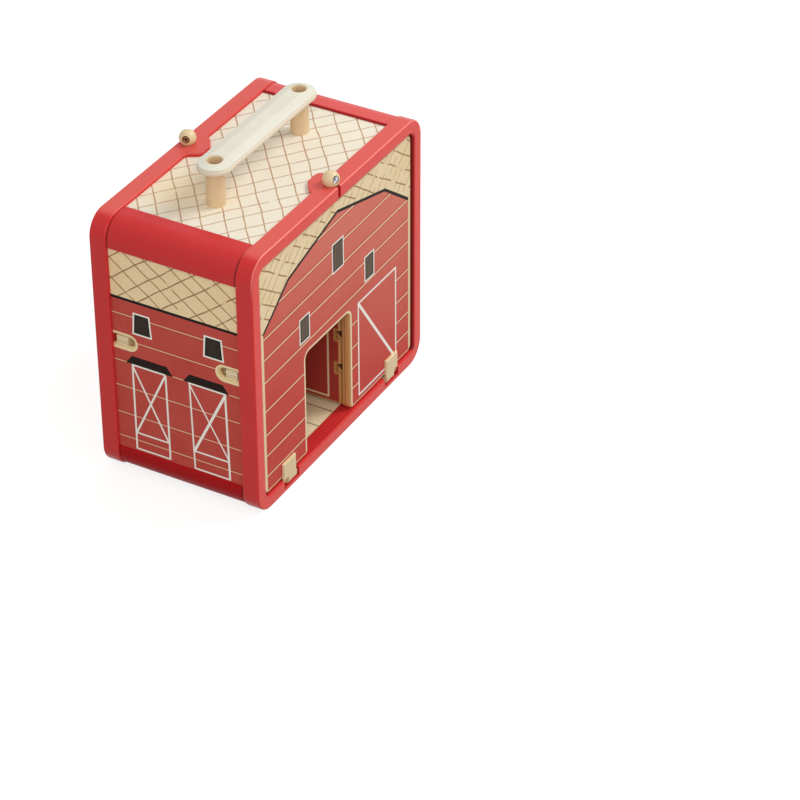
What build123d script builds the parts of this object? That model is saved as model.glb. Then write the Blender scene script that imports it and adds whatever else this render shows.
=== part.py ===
"""Carry-along toy barn. Its two gable ends drop open like flaps, and the front one has a doorway with two doors.

X runs along the gable ends, Y from the front to the back and Z up. The origin is at the bottom, in the middle.
The two end frames are one shape: the back one, with its flap and bead, is the front one turned half a turn.
All sizes are in millimetres.
"""
import os
from build123d import *

os.makedirs("parts", exist_ok=True)

# Overall size, without the handle.
LENGTH = 280.0
DEPTH = 155.0
HEIGHT = 250.0

# End frames: rounded rectangular rings, one at the front and one at the back.
FRAME_DEPTH = 16.0
BAR = 12.5
CORNER = 20.5
FRAME_ROUND = 1.8

# Quarter-round rails that join the two frames at their corners.
RAIL_WIDTH = 30.0
RAIL_HEIGHT = 25.0
RAIL_RECESS = 1.2
RAIL_ROUND = 1.5
RAIL_END_ROUND = 1.4

# Plywood boards, and how far each lies behind the outer face of the frames.
BOARD = 8.0
FLOOR_BOARD = 6.0
ROOF_RECESS = 3.5
SIDE_RECESS = 3.5
FLAP_RECESS = 2.5
BOARD_ROUND = 2.5

# Loft floor, with tabs that stand in slots of the side boards.
LOFT_BOTTOM = 131.0
LOFT_NOSE_GAP = 0.3
LOFT_SIDE_GAP = 0.3
LOFT_TAB_START = 47.5
LOFT_TAB_END = 58.5
LOFT_TAB_RECESS = 0.5
SLOT_END = 41.5
SLOT_CLEARANCE = 0.4

# Flaps: the gable boards, with a gap all round in their frame.
FLAP_GAP = 1.5
FLAP_BACK_ROUND = 0.8

# Doorway in the front flap, open at the bottom.
DOORWAY_LEFT = -55.0
DOORWAY_WIDTH = 73.0
DOORWAY_TOP = 115.0
DOORWAY_CORNER = 6.0
DOORWAY_FOOT_CORNER = 4.0

# Doors: a pair that stands open inwards and closes behind the doorway.
DOOR_BOARD = 8.0
DOOR_BOTTOM = 15.5
DOOR_OVERLAP = 3.0
DOOR_JAMB_OFFSET = 0.2
DOOR_SEAT_GAP = 0.3
DOOR_MEETING_GAP = 1.0
DOOR_ROUND = 2.5
DOOR_HINGE_EDGE = 3.0
DOOR_NOTCH_DEPTH = 5.5
DOOR_NOTCH_HEIGHT = 9.5
DOOR_NOTCH_BOTTOMS = (48.5, 82.5)
DOOR_NOTCH_ROUND = 1.2

# Door hinges: a metal bracket on the flap's back whose eye turns on a pin in the door's notch.
PIN_RADIUS = 1.0
PIN_BITE = 5.0
EYE_RADIUS = 2.2
EYE_END_GAP = 0.2
BRACKET_SHEET = 1.2
BRACKET_REACH = 13.0
BRACKET_SCREW_RADIUS = 1.0
BRACKET_SCREW_LENGTH = 6.0
BRACKET_HEAD_RADIUS = 2.0
BRACKET_HEAD_HEIGHT = 1.0

# Flap hinges: a tab on the flap's face whose knuckle turns on a pin in a notch of the bottom bar.
NOTCH_SIDE_DISTANCE = 41.5
NOTCH_WIDTH = 24.5
NOTCH_DEPTH = 8.0
NOTCH_FLOOR = 4.2
TAB_MARGIN = 4.0
TAB_WIDTH = 20.0
TAB_TOP = 29.0
TAB_STEP = 12.2
TAB_CHAMFER = 0.8
TAB_FRONT_GAP = 0.2
KNUCKLE_WIDTH = 13.0
KNUCKLE_RADIUS = 3.2
KNUCKLE_AXIS_HEIGHT = 8.2
FLAP_PIN_RADIUS = 1.3
FLAP_PIN_BITE = 5.0

# Closure: a bead that sits in a cup on the top bar, tied to the flap through a slit in the bar.
BEAD_RADIUS = 7.5
BEAD_RISE = 4.7
BEAD_SEAT_GAP = 0.3
BEAD_HOLE_RADIUS = 2.6
BEAD_MOUTH_RADIUS = 3.9
BEAD_MOUTH_DEPTH = 2.8
FRONT_BEAD_TILT = 17.0
FRONT_BEAD_TURN = 17.0
BACK_BEAD_TILT = 12.0
BACK_BEAD_TURN = 252.0
CRIMP_LENGTH = 8.0
CRIMP_BORE_RADIUS = 0.9
CORD_RADIUS = 1.2
CORD_IN_FLAP = 12.0
CORD_END_GAP = 0.4
SLIT_WIDTH = 4.5

# Ear: a tab on the inner edge of each top bar that lies over the roof board.
EAR_REACH = 11.5
EAR_SHARP_SIDE = 19.0
EAR_SMOOTH_SIDE = 20.0
EAR_CREST_START = 4.0
EAR_CREST_END = 6.0
EAR_ROOT = 8.0
EAR_ROUND = 0.7

# Handle: a flat bar on two hollow posts, screwed down to the roof board. Its two mouldings meet at a seam.
HANDLE_SPACING = 134.0
HANDLE_WIDTH = 28.4
HANDLE_CREST_WIDTH = 12.6
HANDLE_TOP_ABOVE_ROOF = 41.5
HANDLE_SIDE = 5.6
HANDLE_BEVEL = 2.4
HANDLE_CREST_ROUND = 5.0
HANDLE_EDGE_ROUND = 0.9
HANDLE_LIP = 0.7
HANDLE_LIP_HEIGHT = 4.2
HANDLE_LIP_ROUND = 1.4
POST_RADIUS = 8.0
POST_FLARE = 4.5
POST_FLARE_HEIGHT = 5.0
SOCKET_RADIUS = 7.2
SOCKET_WALL = 1.2
SOCKET_DROP = 1.0
SOCKET_DEPTH = 10.0
POST_BORE_RADIUS = 4.6
POST_FLOOR = 6.0
SCREW_RADIUS = 2.0
SCREW_HEAD_RADIUS = 3.8
SCREW_HEAD_HEIGHT = 2.6
WASHER_RADIUS = 6.0
WASHER_THICKNESS = 1.0
NUT_RADIUS = 4.0
NUT_HEIGHT = 5.0

# Dowels: thick ones between rails and frames, thin ones between boards and rails.
FRAME_DOWEL_RADIUS = 2.5
FRAME_DOWEL_IN_FRAME = 10.0
FRAME_DOWEL_IN_RAIL = 14.0
BOARD_DOWEL_RADIUS = 1.5
BOARD_DOWEL_LENGTH = 16.0
BOARD_DOWEL_MARGIN = 7.0
DOWEL_END_GAP = 0.5

# Radial clearances: still fits inside one piece of the toy, and running fits where something turns.
FIT = 0.05
RUNNING_FIT = 0.06

# Places worked out from the sizes above.
NOTCH_START = LENGTH / 2 - NOTCH_SIDE_DISTANCE - NOTCH_WIDTH
FRAME_BACK = DEPTH / 2 - FRAME_DEPTH
BOARD_DOWEL_Y = FRAME_BACK - FRAME_DOWEL_IN_RAIL - BOARD_DOWEL_MARGIN
OPENING_HALF = LENGTH / 2 - BAR
RAIL_OUT = LENGTH / 2 - RAIL_RECESS
RAIL_IN = RAIL_OUT - RAIL_WIDTH
RAIL_TOP = HEIGHT - RAIL_RECESS
RAIL_UNDER = RAIL_TOP - RAIL_HEIGHT
RAIL_CENTRE_X = LENGTH / 2 - CORNER
RAIL_CENTRE_Z = HEIGHT - CORNER
ROOF_TOP = HEIGHT - ROOF_RECESS
ROOF_UNDER = ROOF_TOP - BOARD
SIDE_OUT = LENGTH / 2 - SIDE_RECESS
SIDE_IN = SIDE_OUT - BOARD
FLAP_FRONT = -DEPTH / 2 + FLAP_RECESS
FLAP_REAR = FLAP_FRONT + BOARD
FLAP_HALF = OPENING_HALF - FLAP_GAP
FLAP_FOOT = BAR + FLAP_GAP
FLAP_TOP = HEIGHT - BAR - FLAP_GAP
FLAP_CORNER = CORNER - BAR - FLAP_GAP
DOORWAY_RIGHT = DOORWAY_LEFT + DOORWAY_WIDTH
DOORWAY_MIDDLE = DOORWAY_LEFT + DOORWAY_WIDTH / 2
DOOR_TOP = DOORWAY_TOP + DOOR_OVERLAP
DOOR_FACE = DOORWAY_RIGHT + DOOR_JAMB_OFFSET
DOOR_AXIS_X = DOOR_FACE + DOOR_BOARD / 2
DOOR_AXIS_Y = FLAP_REAR + DOOR_SEAT_GAP + DOOR_BOARD / 2
DOOR_NEAR = DOOR_AXIS_Y - DOOR_HINGE_EDGE
DOOR_WIDTH = DOOR_AXIS_X + DOOR_HINGE_EDGE - DOORWAY_MIDDLE - DOOR_MEETING_GAP / 2
TAB_FRONT = -DEPTH / 2 + TAB_FRONT_GAP
KNUCKLE_AXIS_Y = TAB_FRONT + KNUCKLE_RADIUS
BEAD_Y = -DEPTH / 2 + FRAME_DEPTH / 2
BEAD_Z = HEIGHT + BEAD_RISE
BEAD_HOLES = {"front": (FRONT_BEAD_TILT, FRONT_BEAD_TURN), "back": (BACK_BEAD_TILT, BACK_BEAD_TURN)}
CRIMP_RADIUS = BEAD_HOLE_RADIUS - FIT
POST_XS = (-HANDLE_SPACING / 2, HANDLE_SPACING / 2)
HANDLE_TOP = ROOF_TOP + HANDLE_TOP_ABOVE_ROOF
HANDLE_BEVEL_FOOT = HANDLE_TOP - HANDLE_BEVEL
HANDLE_UNDER = HANDLE_BEVEL_FOOT - HANDLE_SIDE
HANDLE_SEAM = HANDLE_UNDER + HANDLE_LIP_HEIGHT
HALF_TURN = Rot(0, 0, 180)


def block(x, y, z):
    """A box between two limits along each axis."""
    limits = (x, y, z)
    centre = [(low + high) / 2 for low, high in limits]
    size = [high - low for low, high in limits]
    return Pos(*centre) * Box(*size)


def rod(radius, start, end):
    """A round rod between two points."""
    along = Vector(*end) - Vector(*start)
    return Solid.make_cylinder(radius, along.length, Plane(origin=start, z_dir=along))


def edges_at(shape, axis, place):
    """The edges of a shape that lie at one place along an axis."""
    return shape.edges().filter_by_position(axis, place - 0.01, place + 0.01)


def upright(sketch, y):
    """A sketch stood up at one depth: its X stays X and its Y becomes Z, and it extrudes towards the front."""
    return Plane.XZ.offset(-y) * sketch


def four_corners(shape):
    """The same solid at the four corners, mirrored left to right and top to bottom about mid-height."""
    right = mirror(shape, Plane.YZ)
    return {
        "top_left": shape,
        "top_right": right,
        "bottom_left": mirror(shape, Plane.XY.offset(HEIGHT / 2)),
        "bottom_right": mirror(right, Plane.XY.offset(HEIGHT / 2)),
    }


def ear():
    """The tab on the top bar's inner edge: a sharp corner on the left and a smooth ogee on the right."""
    crest = -FRAME_BACK + EAR_REACH
    with BuildSketch(Plane.XY.offset(ROOF_TOP)) as outline:
        with BuildLine():
            shoulder = (-EAR_SHARP_SIDE * 0.57, -FRAME_BACK + EAR_REACH * 0.66)
            ThreePointArc((-EAR_SHARP_SIDE, -FRAME_BACK), shoulder, (-EAR_CREST_START, crest))
            Line((-EAR_CREST_START, crest), (EAR_CREST_END, crest))
            Spline(
                (EAR_CREST_END, crest),
                ((EAR_CREST_END + EAR_SMOOTH_SIDE) / 2, crest - EAR_REACH / 2),
                (EAR_SMOOTH_SIDE, -FRAME_BACK),
                tangents=((1, 0), (1, 0)),
            )
            Polyline(
                (EAR_SMOOTH_SIDE, -FRAME_BACK),
                (EAR_SMOOTH_SIDE, -FRAME_BACK - EAR_ROOT),
                (-EAR_SHARP_SIDE, -FRAME_BACK - EAR_ROOT),
                (-EAR_SHARP_SIDE, -FRAME_BACK),
            )
        make_face()
    tab = extrude(outline.sketch, ROOF_RECESS)
    overhang = [edge for edge in edges_at(tab, Axis.Z, HEIGHT) if edge.center().Y > -FRAME_BACK + EAR_ROUND]
    return fillet(overhang, EAR_ROUND)


def frame_dowel_places():
    """Where the dowels of one top left rail end lie, as X and Z."""
    side = (-(LENGTH / 2 - BAR / 2) + 0.5, RAIL_CENTRE_Z + CORNER / 5)
    top = (-RAIL_CENTRE_X - 1.0, HEIGHT - BAR / 2 - 0.5)
    return (side, top)


def frame_dowel_rods(radius, end_gap):
    """Rods through the joints of one rail and both frames, each shorter than its hole by the end gap."""
    rods = []
    for x, z in frame_dowel_places():
        for end in (-1, 1):
            inner = end * (FRAME_BACK - FRAME_DOWEL_IN_RAIL + end_gap)
            outer = end * (FRAME_BACK + FRAME_DOWEL_IN_FRAME - end_gap)
            rods.append(rod(radius, (x, inner, z), (x, outer, z)))
    return rods


def all_frame_dowel_rods(radius, end_gap):
    """The frame dowels of all four rails."""
    rods = []
    for one in frame_dowel_rods(radius, end_gap):
        rods.extend(four_corners(one).values())
    return rods


def board_dowel_rods(radius, end_gap):
    """Rods between the rails and the roof board, the side boards and the floor board."""
    half = BOARD_DOWEL_LENGTH / 2 - end_gap
    side_x = (SIDE_OUT + SIDE_IN) / 2
    roof_z = (ROOF_TOP + ROOF_UNDER) / 2
    floor_z = BAR - FLOOR_BOARD / 2
    rods = []
    for side in (-1, 1):
        for y in (-BOARD_DOWEL_Y, 0, BOARD_DOWEL_Y):
            for z in (roof_z, floor_z):
                rods.append(rod(radius, (side * (RAIL_IN - half), y, z), (side * (RAIL_IN + half), y, z)))
            for z in (RAIL_UNDER, HEIGHT - RAIL_UNDER):
                rods.append(rod(radius, (side * side_x, y, z - half), (side * side_x, y, z + half)))
    return rods


def cut_all(shape, tools):
    """A shape with every tool taken out of it."""
    for tool in tools:
        shape = shape - tool
    return shape


def end_frame():
    """The front frame: a rounded ring with an ear, a bead's cup and slit, and two notches for the flap's tabs."""
    outline = Pos(0, HEIGHT / 2) * RectangleRounded(LENGTH, HEIGHT, CORNER)
    opening = Pos(0, HEIGHT / 2) * RectangleRounded(LENGTH - 2 * BAR, HEIGHT - 2 * BAR, CORNER - BAR)
    ring = extrude(upright(outline - opening, -FRAME_BACK), FRAME_DEPTH)
    ring = fillet(edges_at(ring, Axis.Y, -FRAME_BACK) + edges_at(ring, Axis.Y, -DEPTH / 2), FRAME_ROUND)
    ring = ring + ear()
    under_bar = HEIGHT - BAR
    slit = block((-SLIT_WIDTH / 2, SLIT_WIDTH / 2), (-DEPTH, BEAD_Y), (under_bar - 1, HEIGHT + 1))
    slit_end = rod(SLIT_WIDTH / 2, (0, BEAD_Y, under_bar - 1), (0, BEAD_Y, HEIGHT + 1))
    cup = Pos(0, BEAD_Y, BEAD_Z) * Sphere(BEAD_RADIUS + BEAD_SEAT_GAP)
    tools = [slit, slit_end, cup]
    for side in (-1, 1):
        near, far = sorted((side * NOTCH_START, side * (NOTCH_START + NOTCH_WIDTH)))
        tools.append(block((near, far), (-DEPTH, -DEPTH / 2 + NOTCH_DEPTH), (NOTCH_FLOOR, BAR + 1)))
    tools.extend(flap_pin_rods(FLAP_PIN_RADIUS + FIT, 0))
    tools.extend(all_frame_dowel_rods(FRAME_DOWEL_RADIUS + FIT, 0))
    return cut_all(ring, tools)


def top_left_rail():
    """A quarter-round rail between the frames, rounded over at both ends and bored for its dowels."""
    corner_radius = CORNER - RAIL_RECESS
    section = Pos(-(RAIL_OUT + RAIL_IN) / 2, (RAIL_TOP + RAIL_UNDER) / 2) * Rectangle(RAIL_WIDTH, RAIL_HEIGHT)
    corner = section.vertices().sort_by(lambda v: v.X - v.Y)[0]
    section = fillet(corner, corner_radius)
    rail = extrude(upright(section, FRAME_BACK), 2 * FRAME_BACK)
    long_edges = rail.edges().filter_by(Axis.Y)
    arrises = [e for e in long_edges if abs(e.center().Z - RAIL_TOP) < 0.1 and abs(e.center().X + RAIL_IN) < 0.1]
    arrises += [e for e in long_edges if abs(e.center().Z - RAIL_UNDER) < 0.1 and abs(e.center().X + RAIL_OUT) < 0.1]
    rail = fillet(arrises, RAIL_ROUND)
    ends = edges_at(rail, Axis.Y, -FRAME_BACK) + edges_at(rail, Axis.Y, FRAME_BACK)
    outer = [e for e in ends if e.center().X < -RAIL_IN - 0.01 and e.center().Z > RAIL_UNDER + 0.01]
    rail = fillet(outer, RAIL_END_ROUND)
    return cut_all(rail, frame_dowel_rods(FRAME_DOWEL_RADIUS + FIT, 0))


def roof_board():
    """The board between the top rails, bored for the handle's screws."""
    board = block((-RAIL_IN, RAIL_IN), (-FRAME_BACK, FRAME_BACK), (ROOF_UNDER, ROOF_TOP))
    return cut_all(board, handle_bores(SCREW_RADIUS + FIT, ROOF_UNDER - 1, ROOF_TOP + 1))


def floor_board():
    """The board between the bottom rails, level with the top of the bottom bars."""
    return block((-RAIL_IN, RAIL_IN), (-FRAME_BACK, FRAME_BACK), (BAR - FLOOR_BOARD, BAR))


def slot_cut(end):
    """What is cut from the left side board at one end for a tab of the loft floor: a slot with a round end."""
    half = BOARD / 2 + SLOT_CLEARANCE
    middle = LOFT_BOTTOM + BOARD / 2
    round_y = end * (SLOT_END + half)
    x = (-SIDE_OUT - 1, -SIDE_IN + 1)
    y = sorted((round_y, end * (FRAME_BACK + 1)))
    return block(x, y, (middle - half, middle + half)) + rod(half, (x[0], round_y, middle), (x[1], round_y, middle))


def left_side_board():
    """The left side board, with a rounded-over slot at each end for the loft floor's tabs."""
    board = block((-SIDE_OUT, -SIDE_IN), (-FRAME_BACK, FRAME_BACK), (HEIGHT - RAIL_UNDER, RAIL_UNDER))
    board = board - slot_cut(-1) - slot_cut(1)
    low = LOFT_BOTTOM - SLOT_CLEARANCE - 0.1
    high = LOFT_BOTTOM + BOARD + SLOT_CLEARANCE + 0.1
    rims = [
        edge
        for edge in edges_at(board, Axis.X, -SIDE_OUT)
        if low < edge.center().Z < high and abs(edge.center().Y) < FRAME_BACK - 0.1
    ]
    return fillet(rims, BOARD_ROUND)


def loft_floor():
    """The upper floor, with four tabs that stand in the slots of the side boards."""
    z = (LOFT_BOTTOM, LOFT_BOTTOM + BOARD)
    half_width = OPENING_HALF - LOFT_SIDE_GAP
    half_depth = -FLAP_REAR - LOFT_NOSE_GAP
    floor = block((-half_width, half_width), (-half_depth, half_depth), z)
    tab_reach = SIDE_OUT - LOFT_TAB_RECESS
    for y in ((LOFT_TAB_START, LOFT_TAB_END), (-LOFT_TAB_END, -LOFT_TAB_START)):
        floor = floor + block((-tab_reach, tab_reach), y, z)
    return floor


def flap_outline():
    """The outline of a gable board in its frame's opening."""
    size = (2 * FLAP_HALF, FLAP_TOP - FLAP_FOOT)
    return Pos(0, (FLAP_TOP + FLAP_FOOT) / 2) * RectangleRounded(*size, FLAP_CORNER)


def doorway():
    """The doorway's outline: open at the bottom, where its sides flare out with a small radius."""
    top = Pos(DOORWAY_MIDDLE, (DOORWAY_TOP + FLAP_FOOT) / 2) * Rectangle(DOORWAY_WIDTH, DOORWAY_TOP - FLAP_FOOT)
    top = fillet(top.vertices().group_by(Axis.Y)[-1], DOORWAY_CORNER)
    foot_size = (DOORWAY_WIDTH + 2 * DOORWAY_FOOT_CORNER, DOORWAY_FOOT_CORNER)
    foot = Pos(DOORWAY_MIDDLE, FLAP_FOOT + DOORWAY_FOOT_CORNER / 2) * Rectangle(*foot_size)
    for x in (DOORWAY_LEFT - DOORWAY_FOOT_CORNER, DOORWAY_RIGHT + DOORWAY_FOOT_CORNER):
        foot = foot - Pos(x, FLAP_FOOT + DOORWAY_FOOT_CORNER) * Circle(DOORWAY_FOOT_CORNER)
    return top + foot


def flap(outline):
    """A gable board from its outline, rounded over at both faces and bored at the top for its cord."""
    board = extrude(upright(outline, FLAP_REAR), BOARD)
    board = fillet(edges_at(board, Axis.Y, FLAP_FRONT), BOARD_ROUND - 0.5)
    board = fillet(edges_at(board, Axis.Y, FLAP_REAR), FLAP_BACK_ROUND)
    return board - rod(CORD_RADIUS + FIT, (0, BEAD_Y, FLAP_TOP - CORD_IN_FLAP), (0, BEAD_Y, FLAP_TOP + 1))


def bracket_screw_rods(radius, side):
    """Rods for the screws of one door's brackets, from the bracket into the flap's back."""
    x = DOOR_AXIS_X + EYE_RADIUS + BRACKET_REACH / 2
    rods = []
    for bottom in DOOR_NOTCH_BOTTOMS:
        z = bottom + DOOR_NOTCH_HEIGHT / 2
        start = (x, FLAP_REAR + BRACKET_SHEET, z)
        end = (x, FLAP_REAR - BRACKET_SCREW_LENGTH, z)
        rods.append(rod(radius, start, end))
    if side < 0:
        rods = [to_left_door(one) for one in rods]
    return rods


def to_left_door(shape):
    """A shape of the right door's mirrored about the doorway's middle, for the left door."""
    return mirror(shape, Plane.YZ.offset(DOORWAY_MIDDLE))


def front_flap():
    """The front gable board with its doorway, bored for the brackets' screws."""
    board = flap(flap_outline() - doorway())
    for side in (-1, 1):
        board = cut_all(board, bracket_screw_rods(BRACKET_SCREW_RADIUS + FIT, side))
    return board


def back_flap():
    """The back gable board, which has no doorway."""
    return HALF_TURN * flap(flap_outline())


def right_tab():
    """The right hinge tab: a plate on the flap's face, stepped at its foot, with a knuckle round the pin."""
    start = NOTCH_START + TAB_MARGIN
    plate = block((start, start + TAB_WIDTH), (TAB_FRONT, FLAP_FRONT), (TAB_STEP, TAB_TOP))
    plate = chamfer(edges_at(plate, Axis.Y, TAB_FRONT), TAB_CHAMFER)
    knuckle_x = (start, start + KNUCKLE_WIDTH)
    web = block(knuckle_x, (TAB_FRONT, FLAP_FRONT), (KNUCKLE_AXIS_HEIGHT, TAB_STEP + TAB_CHAMFER))
    knuckle = rod(
        KNUCKLE_RADIUS,
        (knuckle_x[0], KNUCKLE_AXIS_Y, KNUCKLE_AXIS_HEIGHT),
        (knuckle_x[1], KNUCKLE_AXIS_Y, KNUCKLE_AXIS_HEIGHT),
    )
    bore = rod(
        FLAP_PIN_RADIUS + RUNNING_FIT,
        (knuckle_x[0] - 1, KNUCKLE_AXIS_Y, KNUCKLE_AXIS_HEIGHT),
        (knuckle_x[1] + 1, KNUCKLE_AXIS_Y, KNUCKLE_AXIS_HEIGHT),
    )
    return plate + web + knuckle - bore


def flap_pin_rods(radius, end_gap):
    """Rods for the front flap's two hinge pins, across the notches of the bottom bar."""
    rods = []
    for side in (-1, 1):
        near = side * (NOTCH_START - FLAP_PIN_BITE + end_gap)
        far = side * (NOTCH_START + NOTCH_WIDTH + FLAP_PIN_BITE - end_gap)
        start = (near, KNUCKLE_AXIS_Y, KNUCKLE_AXIS_HEIGHT)
        rods.append(rod(radius, start, (far, KNUCKLE_AXIS_Y, KNUCKLE_AXIS_HEIGHT)))
    return rods


def right_door():
    """The right door, standing open: notched at its hinge edge and bored for its two pins."""
    door = block(
        (DOOR_FACE, DOOR_FACE + DOOR_BOARD),
        (DOOR_NEAR, DOOR_NEAR + DOOR_WIDTH),
        (DOOR_BOTTOM, DOOR_TOP),
    )
    door = fillet(edges_at(door, Axis.X, DOOR_FACE) + edges_at(door, Axis.X, DOOR_FACE + DOOR_BOARD), DOOR_ROUND)
    for bottom in DOOR_NOTCH_BOTTOMS:
        notch_y = (DOOR_NEAR - 1, DOOR_NEAR + DOOR_NOTCH_DEPTH)
        notch_x = (DOOR_FACE - 1, DOOR_FACE + DOOR_BOARD + 1)
        door = door - block(notch_x, notch_y, (bottom, bottom + DOOR_NOTCH_HEIGHT))
    return cut_all(door, door_pin_rods(PIN_RADIUS + FIT, 0))


def door_pin_rods(radius, end_gap):
    """Rods for the right door's two pins, across its notches."""
    rods = []
    for bottom in DOOR_NOTCH_BOTTOMS:
        low = bottom - PIN_BITE + end_gap
        high = bottom + DOOR_NOTCH_HEIGHT + PIN_BITE - end_gap
        rods.append(rod(radius, (DOOR_AXIS_X, DOOR_AXIS_Y, low), (DOOR_AXIS_X, DOOR_AXIS_Y, high)))
    return rods


def right_brackets():
    """The right door's two hinge brackets: a plate on the flap's back and an eye round the pin."""
    brackets = []
    for bottom in DOOR_NOTCH_BOTTOMS:
        z = (bottom + EYE_END_GAP, bottom + DOOR_NOTCH_HEIGHT - EYE_END_GAP)
        arm = block((DOOR_AXIS_X - EYE_RADIUS, DOOR_AXIS_X + EYE_RADIUS), (FLAP_REAR, DOOR_AXIS_Y), z)
        eye = rod(EYE_RADIUS, (DOOR_AXIS_X, DOOR_AXIS_Y, z[0]), (DOOR_AXIS_X, DOOR_AXIS_Y, z[1]))
        plate_x = (DOOR_AXIS_X, DOOR_AXIS_X + EYE_RADIUS + BRACKET_REACH)
        plate = block(plate_x, (FLAP_REAR, FLAP_REAR + BRACKET_SHEET), z)
        bore = rod(PIN_RADIUS + RUNNING_FIT, (DOOR_AXIS_X, DOOR_AXIS_Y, z[0] - 1), (DOOR_AXIS_X, DOOR_AXIS_Y, z[1] + 1))
        bracket = arm + eye + plate - bore
        brackets.append(cut_all(bracket, bracket_screw_rods(BRACKET_SCREW_RADIUS + FIT, 1)))
    return brackets


def bracket_screws(side):
    """The screws of one door's brackets, with their heads on the brackets' plates."""
    screws = []
    for shank in bracket_screw_rods(BRACKET_SCREW_RADIUS, 1):
        middle = shank.bounding_box().center()
        seat = FLAP_REAR + BRACKET_SHEET
        head = rod(BRACKET_HEAD_RADIUS, (middle.X, seat, middle.Z), (middle.X, seat + BRACKET_HEAD_HEIGHT, middle.Z))
        screws.append(shank + head)
    if side < 0:
        screws = [to_left_door(screw) for screw in screws]
    return screws


def bead_hole_aim(tilt, turn):
    """The direction of a bead's cross hole: tilted up and turned about the upright axis from the front."""
    return Vector(0, -1, 0).rotate(Axis.X, -tilt).rotate(Axis.Z, -turn)


def bead_hole_rod(radius, length, aim):
    """A rod through the bead's middle, along its cross hole."""
    reach = aim * (length / 2)
    middle = Vector(0, BEAD_Y, BEAD_Z)
    return rod(radius, tuple(middle - reach), tuple(middle + reach))


def bead_mouths(aim):
    """The two cones that widen the cross hole towards its mouths."""
    mouths = []
    for outward in (-aim, aim):
        foot = Vector(0, BEAD_Y, BEAD_Z) + outward * (BEAD_RADIUS - BEAD_MOUTH_DEPTH)
        plane = Plane(origin=foot, z_dir=outward)
        mouths.append(Solid.make_cone(BEAD_HOLE_RADIUS, BEAD_MOUTH_RADIUS, BEAD_MOUTH_DEPTH, plane))
    return mouths


def bead(aim):
    """The closure bead on the front frame, with its cross hole and the hole that its cord comes up through."""
    ball = Pos(0, BEAD_Y, BEAD_Z) * Sphere(BEAD_RADIUS)
    ball = ball - bead_hole_rod(BEAD_HOLE_RADIUS, 2 * BEAD_RADIUS + 2, aim)
    ball = cut_all(ball, bead_mouths(aim))
    return ball - rod(CORD_RADIUS + FIT, (0, BEAD_Y, BEAD_Z - BEAD_RADIUS - 1), (0, BEAD_Y, BEAD_Z))


def bead_crimp(aim):
    """The metal sleeve in the bead's cross hole that holds the cord's end."""
    sleeve = bead_hole_rod(CRIMP_RADIUS, CRIMP_LENGTH, aim)
    return sleeve - bead_hole_rod(CRIMP_BORE_RADIUS, CRIMP_LENGTH + 2, aim)


def bead_cord():
    """The elastic cord's upper stretch, from the bead's sleeve down through the slit of the bar."""
    top = BEAD_Z - BEAD_HOLE_RADIUS - 2 * CORD_END_GAP
    return rod(CORD_RADIUS, (0, BEAD_Y, FLAP_TOP + CORD_END_GAP), (0, BEAD_Y, top))


def flap_cord():
    """The elastic cord's lower stretch, glued into the flap's top edge."""
    low = FLAP_TOP - CORD_IN_FLAP + DOWEL_END_GAP
    return rod(CORD_RADIUS, (0, BEAD_Y, low), (0, BEAD_Y, FLAP_TOP - CORD_END_GAP))


def handle_bores(radius, low, high):
    """Upright rods on the axes of the handle's two posts."""
    return [rod(radius, (x, 0, low), (x, 0, high)) for x in POST_XS]


def handle_cover():
    """The handle's upper moulding: a flat bar with bevelled flanks and a round hole over each post."""
    slot = SlotCenterToCenter(HANDLE_SPACING, HANDLE_WIDTH)
    crest = SlotCenterToCenter(HANDLE_SPACING, HANDLE_CREST_WIDTH)
    cover = extrude(Pos(0, 0, HANDLE_SEAM) * slot, HANDLE_BEVEL_FOOT - HANDLE_SEAM)
    cover = cover + loft([Pos(0, 0, HANDLE_BEVEL_FOOT) * slot, Pos(0, 0, HANDLE_TOP) * crest])
    cover = fillet(edges_at(cover, Axis.Z, HANDLE_TOP), HANDLE_CREST_ROUND)
    cover = fillet(edges_at(cover, Axis.Z, HANDLE_BEVEL_FOOT), HANDLE_EDGE_ROUND)
    return cut_all(cover, handle_bores(SOCKET_RADIUS, HANDLE_SEAM - 1, HANDLE_TOP + 1))


def post_flare(x):
    """The hollow curve by which a post widens into the handle's lower plate."""
    foot = HANDLE_UNDER - POST_FLARE_HEIGHT
    rim = POST_RADIUS + POST_FLARE
    bend = (POST_RADIUS + POST_FLARE * 0.3, HANDLE_UNDER - POST_FLARE_HEIGHT * 0.3)
    with BuildSketch(Plane.XZ) as profile:
        with BuildLine():
            ThreePointArc((POST_RADIUS, foot), bend, (rim, HANDLE_UNDER))
            Polyline((rim, HANDLE_UNDER), (POST_BORE_RADIUS, HANDLE_UNDER), (POST_BORE_RADIUS, foot), (POST_RADIUS, foot))
        make_face()
    return Pos(x, 0, 0) * revolve(profile.sketch, Axis.Z)


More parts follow.
